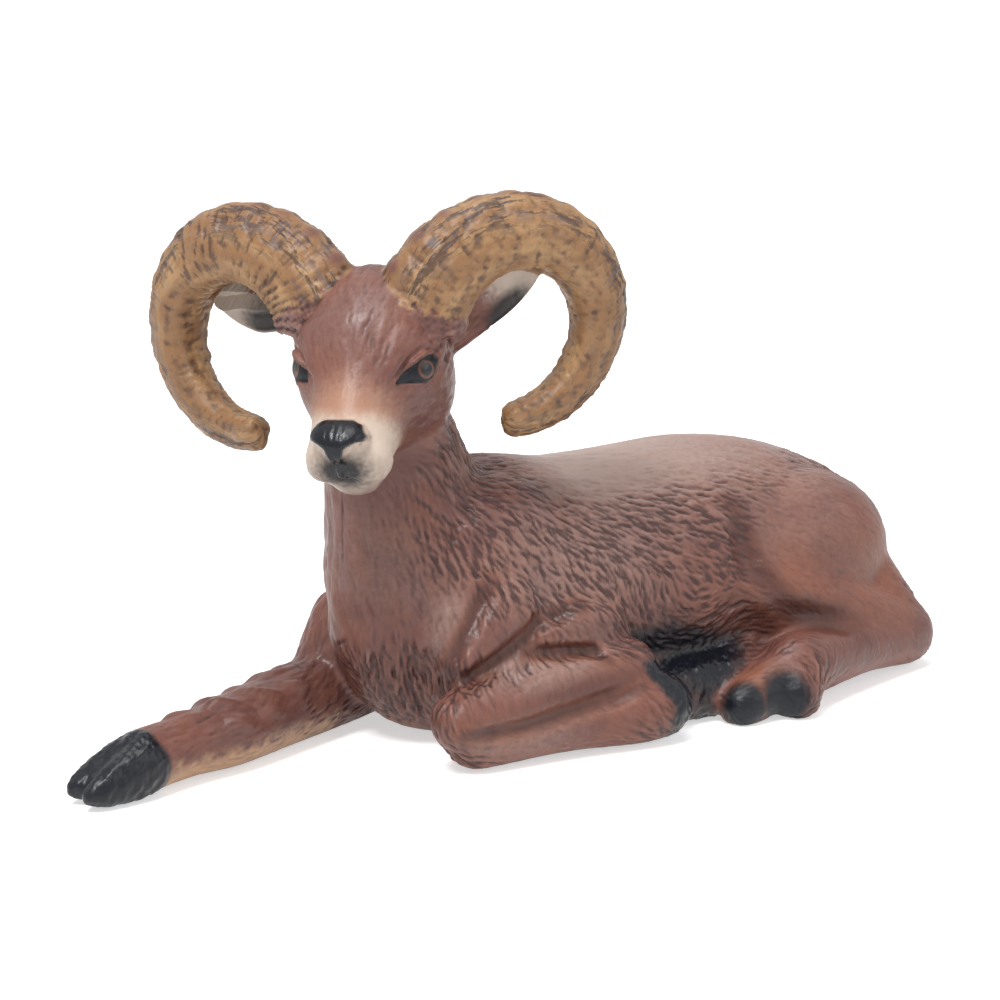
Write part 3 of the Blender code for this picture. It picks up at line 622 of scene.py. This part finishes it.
# share of an ear's length from its root, then across it and out of its hollow face
def earSpace(points, side):
    mirror = np.array((1, side, 1))
    reach = np.array(ear["reach"]) * mirror
    across = unit(ear["across"] * mirror)
    face = np.cross(unit(reach), across)
    face = face if face[0] > 0 else -face
    rel = toHead(points) - np.array(ear["root"]) * mirror
    return rel @ reach / (reach @ reach), rel @ across, rel @ face


def droopEar(clay):
    t, across, face = earSpace(clay.points, -1)
    near = (t > 0) & (t < 1.45) & (np.abs(across) < 4.5) & (np.abs(face) < 3)
    near &= hornSpace(clay.points, -1)[0] < -0.15
    turn = math.radians(ear["droop"]) * fade(0.05, 0.6, t[near])[:, None]
    root = fromHead(np.array(ear["root"]) * (1, -1, 1))
    axis = unit(ear["droopAxis"])
    rel = clay.points[near] - root
    lengthwise = (rel @ axis)[:, None] * axis
    flat = rel - lengthwise
    clay.points[near] = root + lengthwise + flat * np.cos(turn) + np.cross(axis, flat) * np.sin(turn)
    clay.findNormals()
    print("ear lowered:", int(near.sum()), "points")


# paint areas: soft balls and lines
def softBall(points, middle, radii, edge=0.35):
    r = np.linalg.norm((points - np.array(middle)) / np.array(radii), axis=1)
    return fade(1 + edge, 1 - edge, r)


# the strongest of several balls, each with its middle, radii and strength
def softBalls(points, balls, edge):
    return np.maximum.reduce([share * softBall(points, place, radii, edge) for place, radii, share in balls])


def softLine(points, stops, inner, outer):
    away, _ = pathDistance(points, smoothPath(stops))
    return fade(outer, inner, away)


# darker painted shade along the folds: full within the first distance, gone at the second, and how strong
shades = {
    "thighEdge": (0.2, 3.2, 0.75),
    "breastFold": (0.2, 1.7, 0.85),
    "shoulderFold": (0.2, 1.6, 0.85),
    "elbowFold": (0.2, 1.3, 0.8),
    "cannonGroove": (0.2, 1.2, 0.8),
}


# paler and darker places on the body: painted light on the upper ribs, the tops of forearm and cannon and
# the shoulder's bulge, and painted shade under the chest, below the folded forearm, on the far side of the
# reaching leg, at the front of the thigh and low on the flank; middle, radii and strength
paleAndLitBalls = (
    ((0, -14, 22), (13, 5, 7), 0.3),
    ((-9, -16.5, 11), (9, 3, 2.2), 0.4),
    ((-12, -17.5, 3.5), (8, 3, 2.2), 0.3),
    ((-15.5, -10.5, 15.5), (2.6, 3, 4), 0.35),
)
shadeBalls = (
    ((-20, -2, 8), (5, 8, 6), 0.4),
    ((0, -19, 7.8), (7, 3, 1.5), 0.5),
    ((-36, 6, 6), (13, 8, 8), 0.3),
    ((24, -14, 12), (4, 6, 5), 0.5),
    ((9, -16, 10), (6, 4, 3.5), 0.45),
)


def findPaint(clay):
    points, normals = clay.points, clay.normals
    x, y, z = points.T
    local = toHead(points)
    hx, hy, hz = local.T
    down = downFace(local)
    onHead = fade(17, 14, np.linalg.norm(local - np.array((1, 0, -3)), axis=1)) * fade(-8.5, -7, hz)
    paint = {}

    hornOn = np.full(len(x), -9.0)
    tufts = 0.5 * ripple(points, 1.3, 5) + 0.35 * ripple(points, 0.8, 6)
    for side in (1, -1):
        inside, share, _ = hornSpace(points, side)
        start = (share * hornLength() - horn["furEnd"] + tufts * 0.8) * 0.8
        hornOn = np.maximum(hornOn, np.minimum(inside, start))
    paint["horn"] = fade(-0.05, 0.2, hornOn)

    nose = fade(-0.12, 0.12, noseMask(local))
    black = nose.copy()
    ears = np.zeros(len(x))
    wholeEar = np.zeros(len(x))
    for side in (1, -1):
        a, b, c = eyeSpace(points, side).T
        near = within(a, b, c, (4.5, 4, 3.5))
        black = np.maximum(black, np.where(near, fade(-0.26, -0.08, almond(a, b)), 0))
        t, across, face = earSpace(points, side)
        onEar = (np.abs(face) < 3) & (np.abs(across) < 4.5) & (t > 0.1) & (t < 1.3)
        middle, half = (2.0, 1.6) if side > 0 else (0.6, 2.3)
        patch = fade(1.25, 0.5, np.hypot((t - 0.46) / 0.25, (across - middle) / half))
        black = np.maximum(black, np.where(onEar, 0.93 * patch, 0))
        inner = np.maximum(fade(-0.9, 0.1, face) * fade(0.3, 0.6, t), fade(0.6, 0.8, t))
        ears = np.maximum(ears, np.where(onEar, inner, 0))
        wholeEar = np.maximum(wholeEar, np.where(onEar, fade(0.15, 0.35, t), 0))
    mouth = np.exp(-(((down - 12.2) / 1.8) ** 2) - (hy / 3.0) ** 2) * (hx > 9) * (hz > -6)
    black = np.maximum(black, np.minimum(1.3 * mouth, 0.97))
    collar = (points - np.array((-47.6, 0, 5))) @ unit((-0.97, -0.2, -0.12))
    hoof = fade(-0.4, 0.5, collar + 0.3 * ripple(points, 4, 3)) * (x < -40)
    rim = (points - np.array((5.6, -20.5, 4))) @ unit((0.96, 0.2, 0.25)) + 0.25 * ripple(points, 3, 4)
    tip = fade(-0.2, 0.7, rim) * fade(15, 12, x) * fade(-16.3, -17.0, y) * fade(10, 9, z)
    tucked = softBall(points, (16.5, -13.5, 3.6), (9.5, 4.6, 4.8), 0.15)
    tucked *= fade(-18.2, -17.6, y)
    black = np.maximum.reduce([black, hoof, tip, tucked])
    black = np.maximum(black, softBall(points, (17.6, -21.0, 2.4), (2.6, 3.0, 3.0), 0.3))
    black = np.maximum(black, softBall(points, (22.6, -21.8, 2.7), (3.2, 3.2, 3.2), 0.3))
    belly = softLine(points, ((6, -14, 9.4), (13, -13.8, 9.2), (21, -13.8, 6.6)), 1.0, 3.4)
    paint["black"] = np.clip(np.maximum(black, 0.96 * belly * (x > 3)), 0, 1)
    paint["gloss"] = np.clip(np.maximum.reduce([nose, hoof * 0.7, tip * 0.7, tucked * 0.8]), 0, 1)

    cream = onHead * fade(7.6, 10.4, hx + 0.22 * np.abs(hy) - 0.3 * np.maximum(hz - 2, 0))
    paint["cream"] = cream * (1 - 0.75 * fade(-3.2, -6.2, hz))
    paint["peach"] = fade(2.2, 7.4, hx - 0.3 * np.abs(hy)) * fade(-4, 1.5, hz) * onHead

    orange = np.zeros(len(x))
    for fold in folds.values():
        orange = np.maximum(orange, 0.75 * softLine(points, fold["path"], 0.2, 2.2))
    orange = np.maximum(orange, 0.55 * softBall(points, (28, -15, 12.5), (8, 6, 4.5), 0.6))
    orange = np.maximum(orange, 0.5 * softBall(points, (44, -17, 14), (7, 7, 6), 0.7))
    orange = np.maximum(orange, 0.8 * softBall(points, (20.5, -20.5, 4.4), (3, 3, 2.2), 0.5))
    under = fade(-0.1, -0.7, normals[:, 2]) * fade(0.2, 0.8, z) * fade(16, 6, z)
    paint["orange"] = np.clip(np.maximum(orange, 0.35 * under), 0, 1)
    paint["tan"] = fade(4.4, 1.6, z) * (x < -21) * fade(12, 6, np.abs(y - 3))
    # painted light: surfaces of the upper back that face up are painted paler, as if lit from above; the
    # ripple adds paler tone at random
    top = fade(0.45, 1.0, normals[:, 2]) * fade(20, 28, z) * fade(-5, 7, x) * (1 - 0.6 * fade(12, 34, x))
    paleAndLit = top + 0.12 * fade(-0.2, 0.6, ripple(points, 22, 8)) * fade(12, 20, z)
    # a painted highlight on the forehead
    litForehead = (fromHead((-2, 0, 5)), (5, 5, 4), 0.12)
    paint["paleAndLit"] = np.maximum(paleAndLit, softBalls(points, (*paleAndLitBalls, litForehead), 0.6))
    paint["ear"] = ears * (1 - paint["horn"])
    paint["wholeEar"] = wholeEar
    shade = np.zeros(len(x))
    for name, (inner, outer, share) in shades.items():
        shade = np.maximum(shade, share * softLine(points, folds[name]["path"], inner, outer))
    paint["shade"] = np.maximum(shade, softBalls(points, shadeBalls, 0.5))
    return paint


# each with the size and the height of its waves
worn = {"hoofCoarse": (1.9, 0.09), "hoofFine": (0.9, 0.05), "legLumps": (4.2, 0.38)}


# the hooves are cast less smoothly than the rest
def roughenHooves(clay):
    (wide, high), (narrow, low) = worn["hoofCoarse"], worn["hoofFine"]
    waves = high * ripple(clay.points, wide, 71) + low * ripple(clay.points, narrow, 72)
    onNose = noseMask(toHead(clay.points)) > -0.5
    clay.push(waves * findPaint(clay)["gloss"] * ~onNose, mark=0.5)


# the hide lies in low lumps along the top of the stretched leg
def lumpLeg(clay):
    x, _, z = clay.points.T
    size, height = worn["legLumps"]
    on = fade(-23, -27, x) * fade(-46, -43, x) * fade(0.1, 0.6, clay.normals[:, 2]) * (z < 14)
    clay.push(height * np.maximum(ripple(clay.points, size, 81) + 0.1, -0.2) * on, mark=0)
    print("hooves and leg roughened")


# places with little hair, on both sides of the body: middle, radii and how smooth they are
smoothBalls = (
    ((-16, -10.5, 15.5), (4.5, 3.5, 4.5), 0.8),
    ((-11, -13.5, 13.5), (6, 3, 3.2), 0.65),
    ((-3, -16, 13), (5, 3, 2.6), 0.45),
    ((-7, -18.5, 6), (15, 4.5, 5.5), 0.9),
    ((37, -14, 15), (13.5, 10, 12), 0.82),
    ((40, -18, 6), (16, 5, 5), 0.9),
    ((21, -20, 4), (6, 4, 4.5), 0.7),
)


# how strongly each kind of hair stroke is cut at each point
def furReach(clay, paint):
    points = clay.points
    x, y, z = points.T
    bare = np.maximum(fade(0.0, 0.3, paint["horn"]), paint["gloss"])
    for side in (1, -1):
        a, b, c = eyeSpace(points, side).T
        near = within(a, b, c, (3.8, 2.6, 3.0))
        bare = np.maximum(bare, np.where(near, fade(-0.8, -0.5, almond(a, b)), 0))
    onHead = fade(14, 11, nearHead(points))
    muzzleArea = onHead * fade(5, 8, toHead(points)[:, 0])
    smooth = softBalls(np.stack([x, -np.abs(y), z], axis=1), smoothBalls, 0.3)
    back = fade(0.5, 0.9, clay.normals[:, 2]) * fade(23, 27, z) * fade(-5, 3, x)
    throat = 1 - 0.85 * fade(-14, -23, x) * fade(10, 15, z) * (z < 40)
    tufted = softBall(points, (-20, -2, 6), (4, 8, 6), 0.4)
    coarse = np.maximum(throat * (1 - 0.85 * back), 0.8 * tufted) * (1 - smooth)
    coarse *= 1 - 0.6 * softBall(points, (-24, 9, 8), (7, 8, 8))
    spared = (1 - paint["wholeEar"]) * (1 - 0.75 * onHead) * (1 - 0.7 * (x < -26))
    coarse *= spared * fade(-0.95, -0.6, clay.normals[:, 2])
    fine = (0.85 - 0.35 * back) * (1 - 0.65 * muzzleArea)
    fine = fine * (1 - 0.7 * paint["wholeEar"]) * fade(0.05, 0.4, z)
    breast = 0.75 * fade(-10, -16, x) * fade(3, 8, z) * (x > -26)
    clumps = np.maximum.reduce([0.2 + 0.5 * coarse, 0.15 * onHead, breast])
    clumps = clumps * (1 - 0.8 * muzzleArea) * (1 - paint["wholeEar"])
    reach = {"clumps": clumps, "coarse": coarse, "fine": fine}
    return {kind: np.clip(weight * (1 - bare), 0, 1) for kind, weight in reach.items()}


# node groups
def newGroup(name, inputs, outputs):
    group = bpy.data.node_groups.new(name, "ShaderNodeTree")
    for label, value in inputs.items():
        socket = group.interface.new_socket(label, in_out="INPUT", socket_type="NodeSocketFloat")
        socket.default_value = value
    for label in outputs:
        group.interface.new_socket(label, in_out="OUTPUT", socket_type="NodeSocketFloat")
    return group, group.nodes.new("NodeGroupInput"), group.nodes.new("NodeGroupOutput")


def addNode(tree, kind, **values):
    node = tree.nodes.new(kind)
    for key, value in values.items():
        setattr(node, key, value)
    return node


def feed(tree, socket, value):
    if isinstance(value, bpy.types.NodeSocket):
        tree.links.new(value, socket)
    else:
        socket.default_value = value


def mathNode(tree, operation, first, second, clamp=False):
    node = addNode(tree, "ShaderNodeMath", operation=operation, use_clamp=clamp)
    feed(tree, node.inputs[0], first)
    feed(tree, node.inputs[1], second)
    return node.outputs[0]


def mixColours(tree, share, first, second):
    node = addNode(tree, "ShaderNodeMix", data_type="RGBA")
    feed(tree, node.inputs[0], share)
    feed(tree, node.inputs[6], first)
    feed(tree, node.inputs[7], second)
    return node.outputs[2]


def noiseNode(tree, scale, detail, roughness=0.5, vector=None):
    node = addNode(tree, "ShaderNodeTexNoise")
    feed(tree, node.inputs["Scale"], scale)
    node.inputs["Detail"].default_value = detail
    node.inputs["Roughness"].default_value = roughness
    if vector is not None:
        tree.links.new(vector, node.inputs["Vector"])
    return node.outputs["Fac"]


def mapRange(tree, value, low, high, toLow=0.0, toHigh=1.0):
    node = addNode(tree, "ShaderNodeMapRange", interpolation_type="SMOOTHSTEP")
    tree.links.new(value, node.inputs[0])
    for socket, number in zip(node.inputs[1:5], (low, high, toLow, toHigh)):
        socket.default_value = number
    return node.outputs[0]


# sprayed paint: a soft mask broken up by fine speckle at its edge
def sprayGroup():
    group, start, end = newGroup(
        "sprayedEdge",
        {"Mask": 0.0, "Speckle": 0.25, "Scale": 1800.0},
        ("Mask",),
    )
    place = addNode(group, "ShaderNodeTexCoord").outputs["Object"]
    noise = noiseNode(group, start.outputs["Scale"], 4, vector=place)
    swing = mathNode(group, "MULTIPLY", mathNode(group, "SUBTRACT", noise, 0.5), 2.0)
    rest = mathNode(group, "SUBTRACT", 1.0, start.outputs["Mask"])
    middle = mathNode(group, "MULTIPLY", start.outputs["Mask"], rest)
    shift = mathNode(group, "MULTIPLY", mathNode(group, "MULTIPLY", swing, middle), start.outputs["Speckle"])
    shift = mathNode(group, "MULTIPLY", shift, 8.0)
    group.links.new(mathNode(group, "ADD", start.outputs["Mask"], shift, clamp=True), end.inputs["Mask"])
    return group


# washes and dry brush: dark paint stays in the cuts, pale paint on the raised marks
def brushGroup():
    group, start, end = newGroup(
        "brushedRelief",
        {"Relief": 0.0, "Spread": 0.12, "Scale": 900.0},
        ("Hollow", "Raised"),
    )
    place = addNode(group, "ShaderNodeTexCoord").outputs["Object"]
    noise = noiseNode(group, start.outputs["Scale"], 3, vector=place)
    swing = mathNode(group, "MULTIPLY", mathNode(group, "SUBTRACT", noise, 0.5), 0.06)
    level = mathNode(group, "ADD", start.outputs["Relief"], swing)
    share = mathNode(group, "DIVIDE", level, start.outputs["Spread"])
    group.links.new(mathNode(group, "MULTIPLY", share, -1.0, clamp=True), end.inputs["Hollow"])
    group.links.new(mathNode(group, "MULTIPLY", share, 1.0, clamp=True), end.inputs["Raised"])
    return group


# fine unevenness of moulded and painted vinyl
def grainGroup():
    group, start, end = newGroup(
        "vinylGrain",
        {"Scale": 1500.0, "Blotch": 160.0},
        ("Height", "Tone"),
    )
    place = addNode(group, "ShaderNodeTexCoord").outputs["Object"]
    for scale, detail, label in (("Scale", 5, "Height"), ("Blotch", 3, "Tone")):
        noise = noiseNode(group, start.outputs[scale], detail, vector=place)
        group.links.new(noise, end.inputs[label])
    return group


def placeGroup(tree, group, **values):
    node = addNode(tree, "ShaderNodeGroup", node_tree=group)
    for label, value in values.items():
        feed(tree, node.inputs[label], value)
    return node


# the painted vinyl
colours = {
    "coat": (0.150, 0.062, 0.050, 1),
    "coatRed": (0.190, 0.076, 0.055, 1),
    "hollow": (0.045, 0.02, 0.019, 1),
    "raised": (0.31, 0.195, 0.17, 1),
    "orange": (0.25, 0.092, 0.052, 1),
    "tan": (0.42, 0.24, 0.13, 1),
    # painted light: the paler coat given to lit tops and bulges
    "paleAndLit": (0.43, 0.30, 0.255, 1),
    "peach": (0.37, 0.195, 0.13, 1),
    "cream": (0.62, 0.50, 0.41, 1),
    "ear": (0.56, 0.47, 0.40, 1),
    "black": (0.004, 0.005, 0.009, 1),
    "blackWorn": (0.02, 0.024, 0.036, 1),
    "iris": (0.11, 0.036, 0.015, 1),
    "pupil": (0.008, 0.008, 0.012, 1),
    "horn": (0.27, 0.14, 0.064, 1),
    "hornLight": (0.42, 0.25, 0.12, 1),
    "hornDark": (0.05, 0.028, 0.025, 1),
    "hornGrey": (0.19, 0.135, 0.115, 1),
    # painted shade for the folds and the places under the body
    "shade": (0.085, 0.032, 0.026, 1),
}


vinyl = {
    "roughness": (0.34, 0.46),
    "hornRougher": 0.06,
    "glossSmoother": 0.17,
    "specular": 0.34,
    "eyeCoat": 0.3,
    "coatRoughness": 0.08,
    "bumpStrength": 0.4,
    "bumpDistance": 0.00015,
    "irisEdge": 0.04,
}


def paintedVinyl(spray, brush, grain):
    material = bpy.data.materials.new("paintedVinyl")
    material.use_nodes = True
    tree = material.node_tree
    shader = tree.nodes["Principled BSDF"]

    def masksOf(name):
        node = addNode(tree, "ShaderNodeAttribute", attribute_name=name)
        parts = addNode(tree, "ShaderNodeSeparateColor")
        tree.links.new(node.outputs["Color"], parts.inputs[0])
        return parts.outputs

    def sprayed(mask, speckle, scale=1800.0):
        return placeGroup(tree, spray, Mask=mask, Speckle=speckle, Scale=scale).outputs["Mask"]

    def times(first, second):
        return mathNode(tree, "MULTIPLY", first, second)

    horns, blacks, gloss = masksOf("paintBase")
    cream, peach, orange = masksOf("paintFace")
    tan, paleAndLit, inEar = masksOf("paintBody")
    relief, eyes, keel = masksOf("paintMarks")
    shade = masksOf("paintShade")[0]
    hornPlace = addNode(tree, "ShaderNodeAttribute", attribute_name="hornPlace").outputs["Vector"]

    wash = placeGroup(tree, brush, Relief=relief, Spread=0.11, Scale=900.0)
    hollow, raised = wash.outputs["Hollow"], wash.outputs["Raised"]
    surface = placeGroup(tree, grain, Scale=1500.0, Blotch=170.0)
    blotch = mapRange(tree, surface.outputs["Tone"], 0.35, 0.65)

    colour = mixColours(tree, blotch, colours["coat"], colours["coatRed"])
    # painted light on lit tops and bulges, with some paler tone at random
    colour = mixColours(tree, sprayed(paleAndLit, 0.15), colour, colours["paleAndLit"])
    colour = mixColours(tree, sprayed(orange, 0.3), colour, colours["orange"])
    # painted shade in the folds and under the body
    colour = mixColours(tree, sprayed(shade, 0.15), colour, colours["shade"])
    colour = mixColours(tree, sprayed(tan, 0.8, 700.0), colour, colours["tan"])
    colour = mixColours(tree, sprayed(peach, 0.18), colour, colours["peach"])
    colour = mixColours(tree, sprayed(cream, 0.18), colour, colours["cream"])
    colour = mixColours(tree, sprayed(inEar, 0.35), colour, colours["ear"])
    paleFace = mathNode(tree, "MAXIMUM", mathNode(tree, "MAXIMUM", cream, peach), inEar)
    light = mathNode(tree, "SUBTRACT", 1.0, times(paleFace, 0.7))
    colour = mixColours(tree, times(times(hollow, 0.85), light), colour, colours["hollow"])
    colour = mixColours(tree, times(times(raised, 0.5), light), colour, colours["raised"])

    # horns: ochre, with dark brush marks that run along them and stay in the cuts
    streak = mapRange(tree, noiseNode(tree, 0.55, 5.0, 0.6, hornPlace), 0.40, 0.64)
    hornColour = mixColours(tree, streak, colours["horn"], colours["hornLight"])
    hornColour = mixColours(tree, times(hollow, 0.7), hornColour, colours["hornDark"])
    scratch = mapRange(tree, noiseNode(tree, 1.1, 7.0, 0.72, hornPlace), 0.49, 0.57)
    hornColour = mixColours(tree, times(times(keel, scratch), 0.9), hornColour, colours["hornDark"])
    dusty = mapRange(tree, noiseNode(tree, 0.8, 6.0, 0.65, hornPlace), 0.50, 0.64)
    hornColour = mixColours(tree, times(times(keel, dusty), 0.6), hornColour, colours["hornGrey"])
    colour = mixColours(tree, horns, colour, hornColour)

    blackTone = mapRange(tree, noiseNode(tree, 900.0, 4.0), 0.45, 0.75)
    blackColour = mixColours(tree, times(raised, blackTone), colours["black"], colours["blackWorn"])
    colour = mixColours(tree, sprayed(blacks, 0.2), colour, blackColour)
    edge = vinyl["irisEdge"]
    iris = mapRange(tree, eyes, -eye["irisRadius"] - edge, -eye["irisRadius"] + edge)
    pupil = mapRange(tree, eyes, -eye["pupilRadius"] - edge, -eye["pupilRadius"] + edge)
    colour = mixColours(tree, iris, colour, colours["iris"])
    colour = mixColours(tree, pupil, colour, colours["pupil"])
    tree.links.new(colour, shader.inputs["Base Color"])

    coatRough = mapRange(tree, surface.outputs["Tone"], 0.3, 0.7, *vinyl["roughness"])
    rough = mathNode(tree, "ADD", coatRough, times(horns, vinyl["hornRougher"]))
    drop = times(mathNode(tree, "MAXIMUM", gloss, iris), vinyl["glossSmoother"])
    tree.links.new(mathNode(tree, "SUBTRACT", rough, drop), shader.inputs["Roughness"])
    tree.links.new(times(iris, vinyl["eyeCoat"]), shader.inputs["Coat Weight"])
    shader.inputs["Coat Roughness"].default_value = vinyl["coatRoughness"]
    shader.inputs["Specular IOR Level"].default_value = vinyl["specular"]

    bump = addNode(tree, "ShaderNodeBump")
    bump.inputs["Strength"].default_value = vinyl["bumpStrength"]
    bump.inputs["Distance"].default_value = vinyl["bumpDistance"]
    tree.links.new(surface.outputs["Height"], bump.inputs["Height"])
    tree.links.new(bump.outputs["Normal"], shader.inputs["Normal"])
    return material


# pieces
def addMask(mesh, name, first, second, third):
    attribute = mesh.attributes.new(name, "FLOAT_COLOR", "POINT")
    rows = np.stack([first, second, third, np.ones(len(first))], axis=1)
    attribute.data.foreach_set("color", rows.astype(np.float32).ravel())


def makePiece(name, clay, chosen, layers, material):
    quads = clay.quads[chosen]
    used, packed = np.unique(quads, return_inverse=True)
    mesh = bpy.data.meshes.new(name)
    mesh.vertices.add(len(used))
    mesh.vertices.foreach_set("co", (clay.points[used] * mm).ravel())
    mesh.loops.add(quads.size)
    mesh.loops.foreach_set("vertex_index", packed.ravel())
    mesh.polygons.add(len(quads))
    mesh.polygons.foreach_set("loop_start", np.arange(0, quads.size, 4))
    mesh.update(calc_edges=True)
    mesh.shade_smooth()
    mesh.normals_split_custom_set_from_vertices(clay.normals[used])
    for label, values in layers.items():
        addMask(mesh, label, *(v[used] for v in values))
    mesh.materials.append(material)
    piece = addObject(name, mesh)
    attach(piece, "root")
    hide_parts(skin["node"])
    print(name, 2 * len(quads), "triangles")


# the numbers that the paint is mixed by, as three to a layer
def paintLayers(clay):
    paint = findPaint(clay)
    count = len(clay.points)
    eyes = np.full(count, -9.0)
    keel = np.zeros(count)
    place = np.zeros((3, count))
    for side in (1, -1):
        a, b, c = eyeSpace(clay.points, side).T
        onBall = within(a, b, c, (3, 3, 3)) & (almond(a, b) > 0.02)
        ballA, ballB = eye["ballMiddle"]
        eyes = np.maximum(eyes, np.where(onBall, -np.hypot(a - ballA, b - ballB), -9))
        inside, share, angle = hornSpace(clay.points, side)
        on = inside > -1
        edge = 0.1 + 0.9 * fade(0.0, 0.85, np.cos(angle)) + 0.4 * fade(0.35, 0.9, share)
        keel = np.where(on, np.clip(edge, 0, 1), keel)
        around = 0.5 * (horn["base"] + (horn["tip"] - horn["base"]) * share)
        along = share * hornLength() * 0.3 + 50 * side
        spot = np.stack([along, np.cos(angle) * around, np.sin(angle) * around])
        place = np.where(on, spot, place)
    return {
        "paintBase": (paint["horn"], paint["black"], paint["gloss"]),
        "paintFace": (paint["cream"], paint["peach"], paint["orange"]),
        "paintBody": (paint["tan"], paint["paleAndLit"], paint["ear"]),
        "paintMarks": (clay.relief, eyes, keel),
        "paintShade": (paint["shade"],) * 3,
        "hornPlace": tuple(place),
    }


# the fine skin is parted so that no piece gets too heavy; the last values are shares of the trunk
cuts = {"throat": 33.0, "withers": 4.0, "trunk": (0.0, 0.25, 0.5, 0.75, 1.0)}
trunkNames = ("ramBreast", "ramShoulders", "ramFlanks", "ramHaunches")


def makeRam():
    clay = Clay(fineSkin())
    print("skin:", len(clay.points), "points")
    pressFolds(clay)
    shapeEyes(clay)
    shapeMuzzle(clay)
    ringHorns(clay)
    roughenHooves(clay)
    lumpLeg(clay)
    tree = plantTree(clay.points)
    for i, (kind, weight) in enumerate(furReach(clay, findPaint(clay)).items()):
        combFur(clay, tree, weight, kind, fur["seed"] + i)
    clay.points[:, 2] = np.maximum(clay.points[:, 2], 0)  # nothing goes below the table
    clay.findNormals()
    layers = paintLayers(clay)
    droopEar(clay)
    material = paintedVinyl(sprayGroup(), brushGroup(), grainGroup())
    middle = clay.points[clay.quads].mean(axis=1)
    onHorns = layers["paintBase"][0][clay.quads].mean(axis=1) > 0.5
    onHead = ~onHorns & (middle[:, 2] > cuts["throat"]) & (middle[:, 0] < cuts["withers"])
    trunk = ~onHorns & ~onHead
    makePiece("ramHorns", clay, onHorns, layers, material)
    makePiece("ramHead", clay, onHead, layers, material)
    edges = np.quantile(middle[trunk, 0], cuts["trunk"])
    edges[0], edges[-1] = -np.inf, np.inf
    for name, low, high in zip(trunkNames, edges[:-1], edges[1:]):
        between = (middle[:, 0] >= low) & (middle[:, 0] < high)
        makePiece(name, clay, trunk & between, layers, material)


makeRam()

# stage
studio = {
    "floorSize": 6.0,
    "floorColour": (0.9, 0.9, 0.9, 1),
    "floorGlow": 0.55,
    "floorSink": 0.02,  # below the feet, so that the two surfaces don't mix
    "worldStrength": 0.36,
    "lamps": (
        {"name": "keyLamp", "azimuth": -66, "elevation": 56, "distance": 0.8, "size": 0.26, "watts": 4.4},
        {"name": "fillLamp", "azimuth": 25, "elevation": 30, "distance": 0.9, "size": 0.6, "watts": 1.0},
        {"name": "topLamp", "azimuth": -30, "elevation": 82, "distance": 0.8, "size": 0.5, "watts": 2.6},
    ),
}
camera = {
    "azimuth": -38,
    "elevation": 14,
    "distance": 420,
    "lens": 135,
    "sensor": 36,
    "target": (-0.9, 0.11, 25),
}


# a lamp or the camera, turned to the ram from a distance in metres
def addAimed(name, data, azimuth, elevation, distance):
    a, e = math.radians(azimuth), math.radians(elevation)
    back = Vector((math.sin(a) * math.cos(e), -math.cos(a) * math.cos(e), math.sin(e)))
    holder = addObject(name, data)
    holder.location = Vector(camera["target"]) * mm + back * distance
    holder.rotation_euler = (-back).to_track_quat("-Z", "Y").to_euler()
    return holder


def seenOnly(tree):
    path = addNode(tree, "ShaderNodeLightPath")
    first = mathNode(tree, "MAXIMUM", path.outputs["Is Camera Ray"], path.outputs["Is Glossy Ray"])
    return mathNode(tree, "MAXIMUM", first, path.outputs["Is Transmission Ray"])


def makeFloor():
    half = studio["floorSize"] / 2
    mesh = bpy.data.meshes.new("floor")
    corners = [(-half, -half, 0), (half, -half, 0), (half, half, 0), (-half, half, 0)]
    mesh.from_pydata(corners, [], [(0, 1, 2, 3)])
    floor = addObject("floor", mesh)
    floor.location.z = -studio["floorSink"] * mm
    material = bpy.data.materials.new("whiteSweep")
    material.use_nodes = True
    tree = material.node_tree
    shader = tree.nodes["Principled BSDF"]
    shader.inputs["Base Color"].default_value = studio["floorColour"]
    shader.inputs["Roughness"].default_value = 0.9
    shader.inputs["Specular IOR Level"].default_value = 0.1
    glow = addNode(tree, "ShaderNodeMapRange")
    tree.links.new(seenOnly(tree), glow.inputs[0])
    glow.inputs[4].default_value = studio["floorGlow"]
    shader.inputs["Emission Color"].default_value = (1, 1, 1, 1)
    tree.links.new(glow.outputs[0], shader.inputs["Emission Strength"])
    mesh.materials.append(material)


def makeWorld():
    world = bpy.data.worlds.new("studioWorld")
    bpy.context.scene.world = world
    world.use_nodes = True
    tree = world.node_tree
    background = tree.nodes["Background"]
    strength = addNode(tree, "ShaderNodeMapRange")
    tree.links.new(seenOnly(tree), strength.inputs[0])
    strength.inputs[3].default_value = studio["worldStrength"]
    strength.inputs[4].default_value = 1.0
    background.inputs["Color"].default_value = (1, 1, 1, 1)
    tree.links.new(strength.outputs[0], background.inputs["Strength"])


def makeLamps():
    for lamp in studio["lamps"]:
        light = bpy.data.lights.new(lamp["name"], "AREA")
        light.shape = "DISK"
        light.size = lamp["size"]
        light.energy = lamp["watts"]
        addAimed(lamp["name"], light, lamp["azimuth"], lamp["elevation"], lamp["distance"])


def makeCamera():
    data = bpy.data.cameras.new("camera")
    data.lens = camera["lens"]
    data.sensor_width = camera["sensor"]
    data.clip_start = 0.01
    holder = addAimed("camera", data, camera["azimuth"], camera["elevation"], camera["distance"] * mm)
    bpy.context.scene.camera = holder


makeFloor()
makeWorld()
makeLamps()
makeCamera()
bpy.context.scene.view_settings.view_transform = "Standard"
print("stage set")
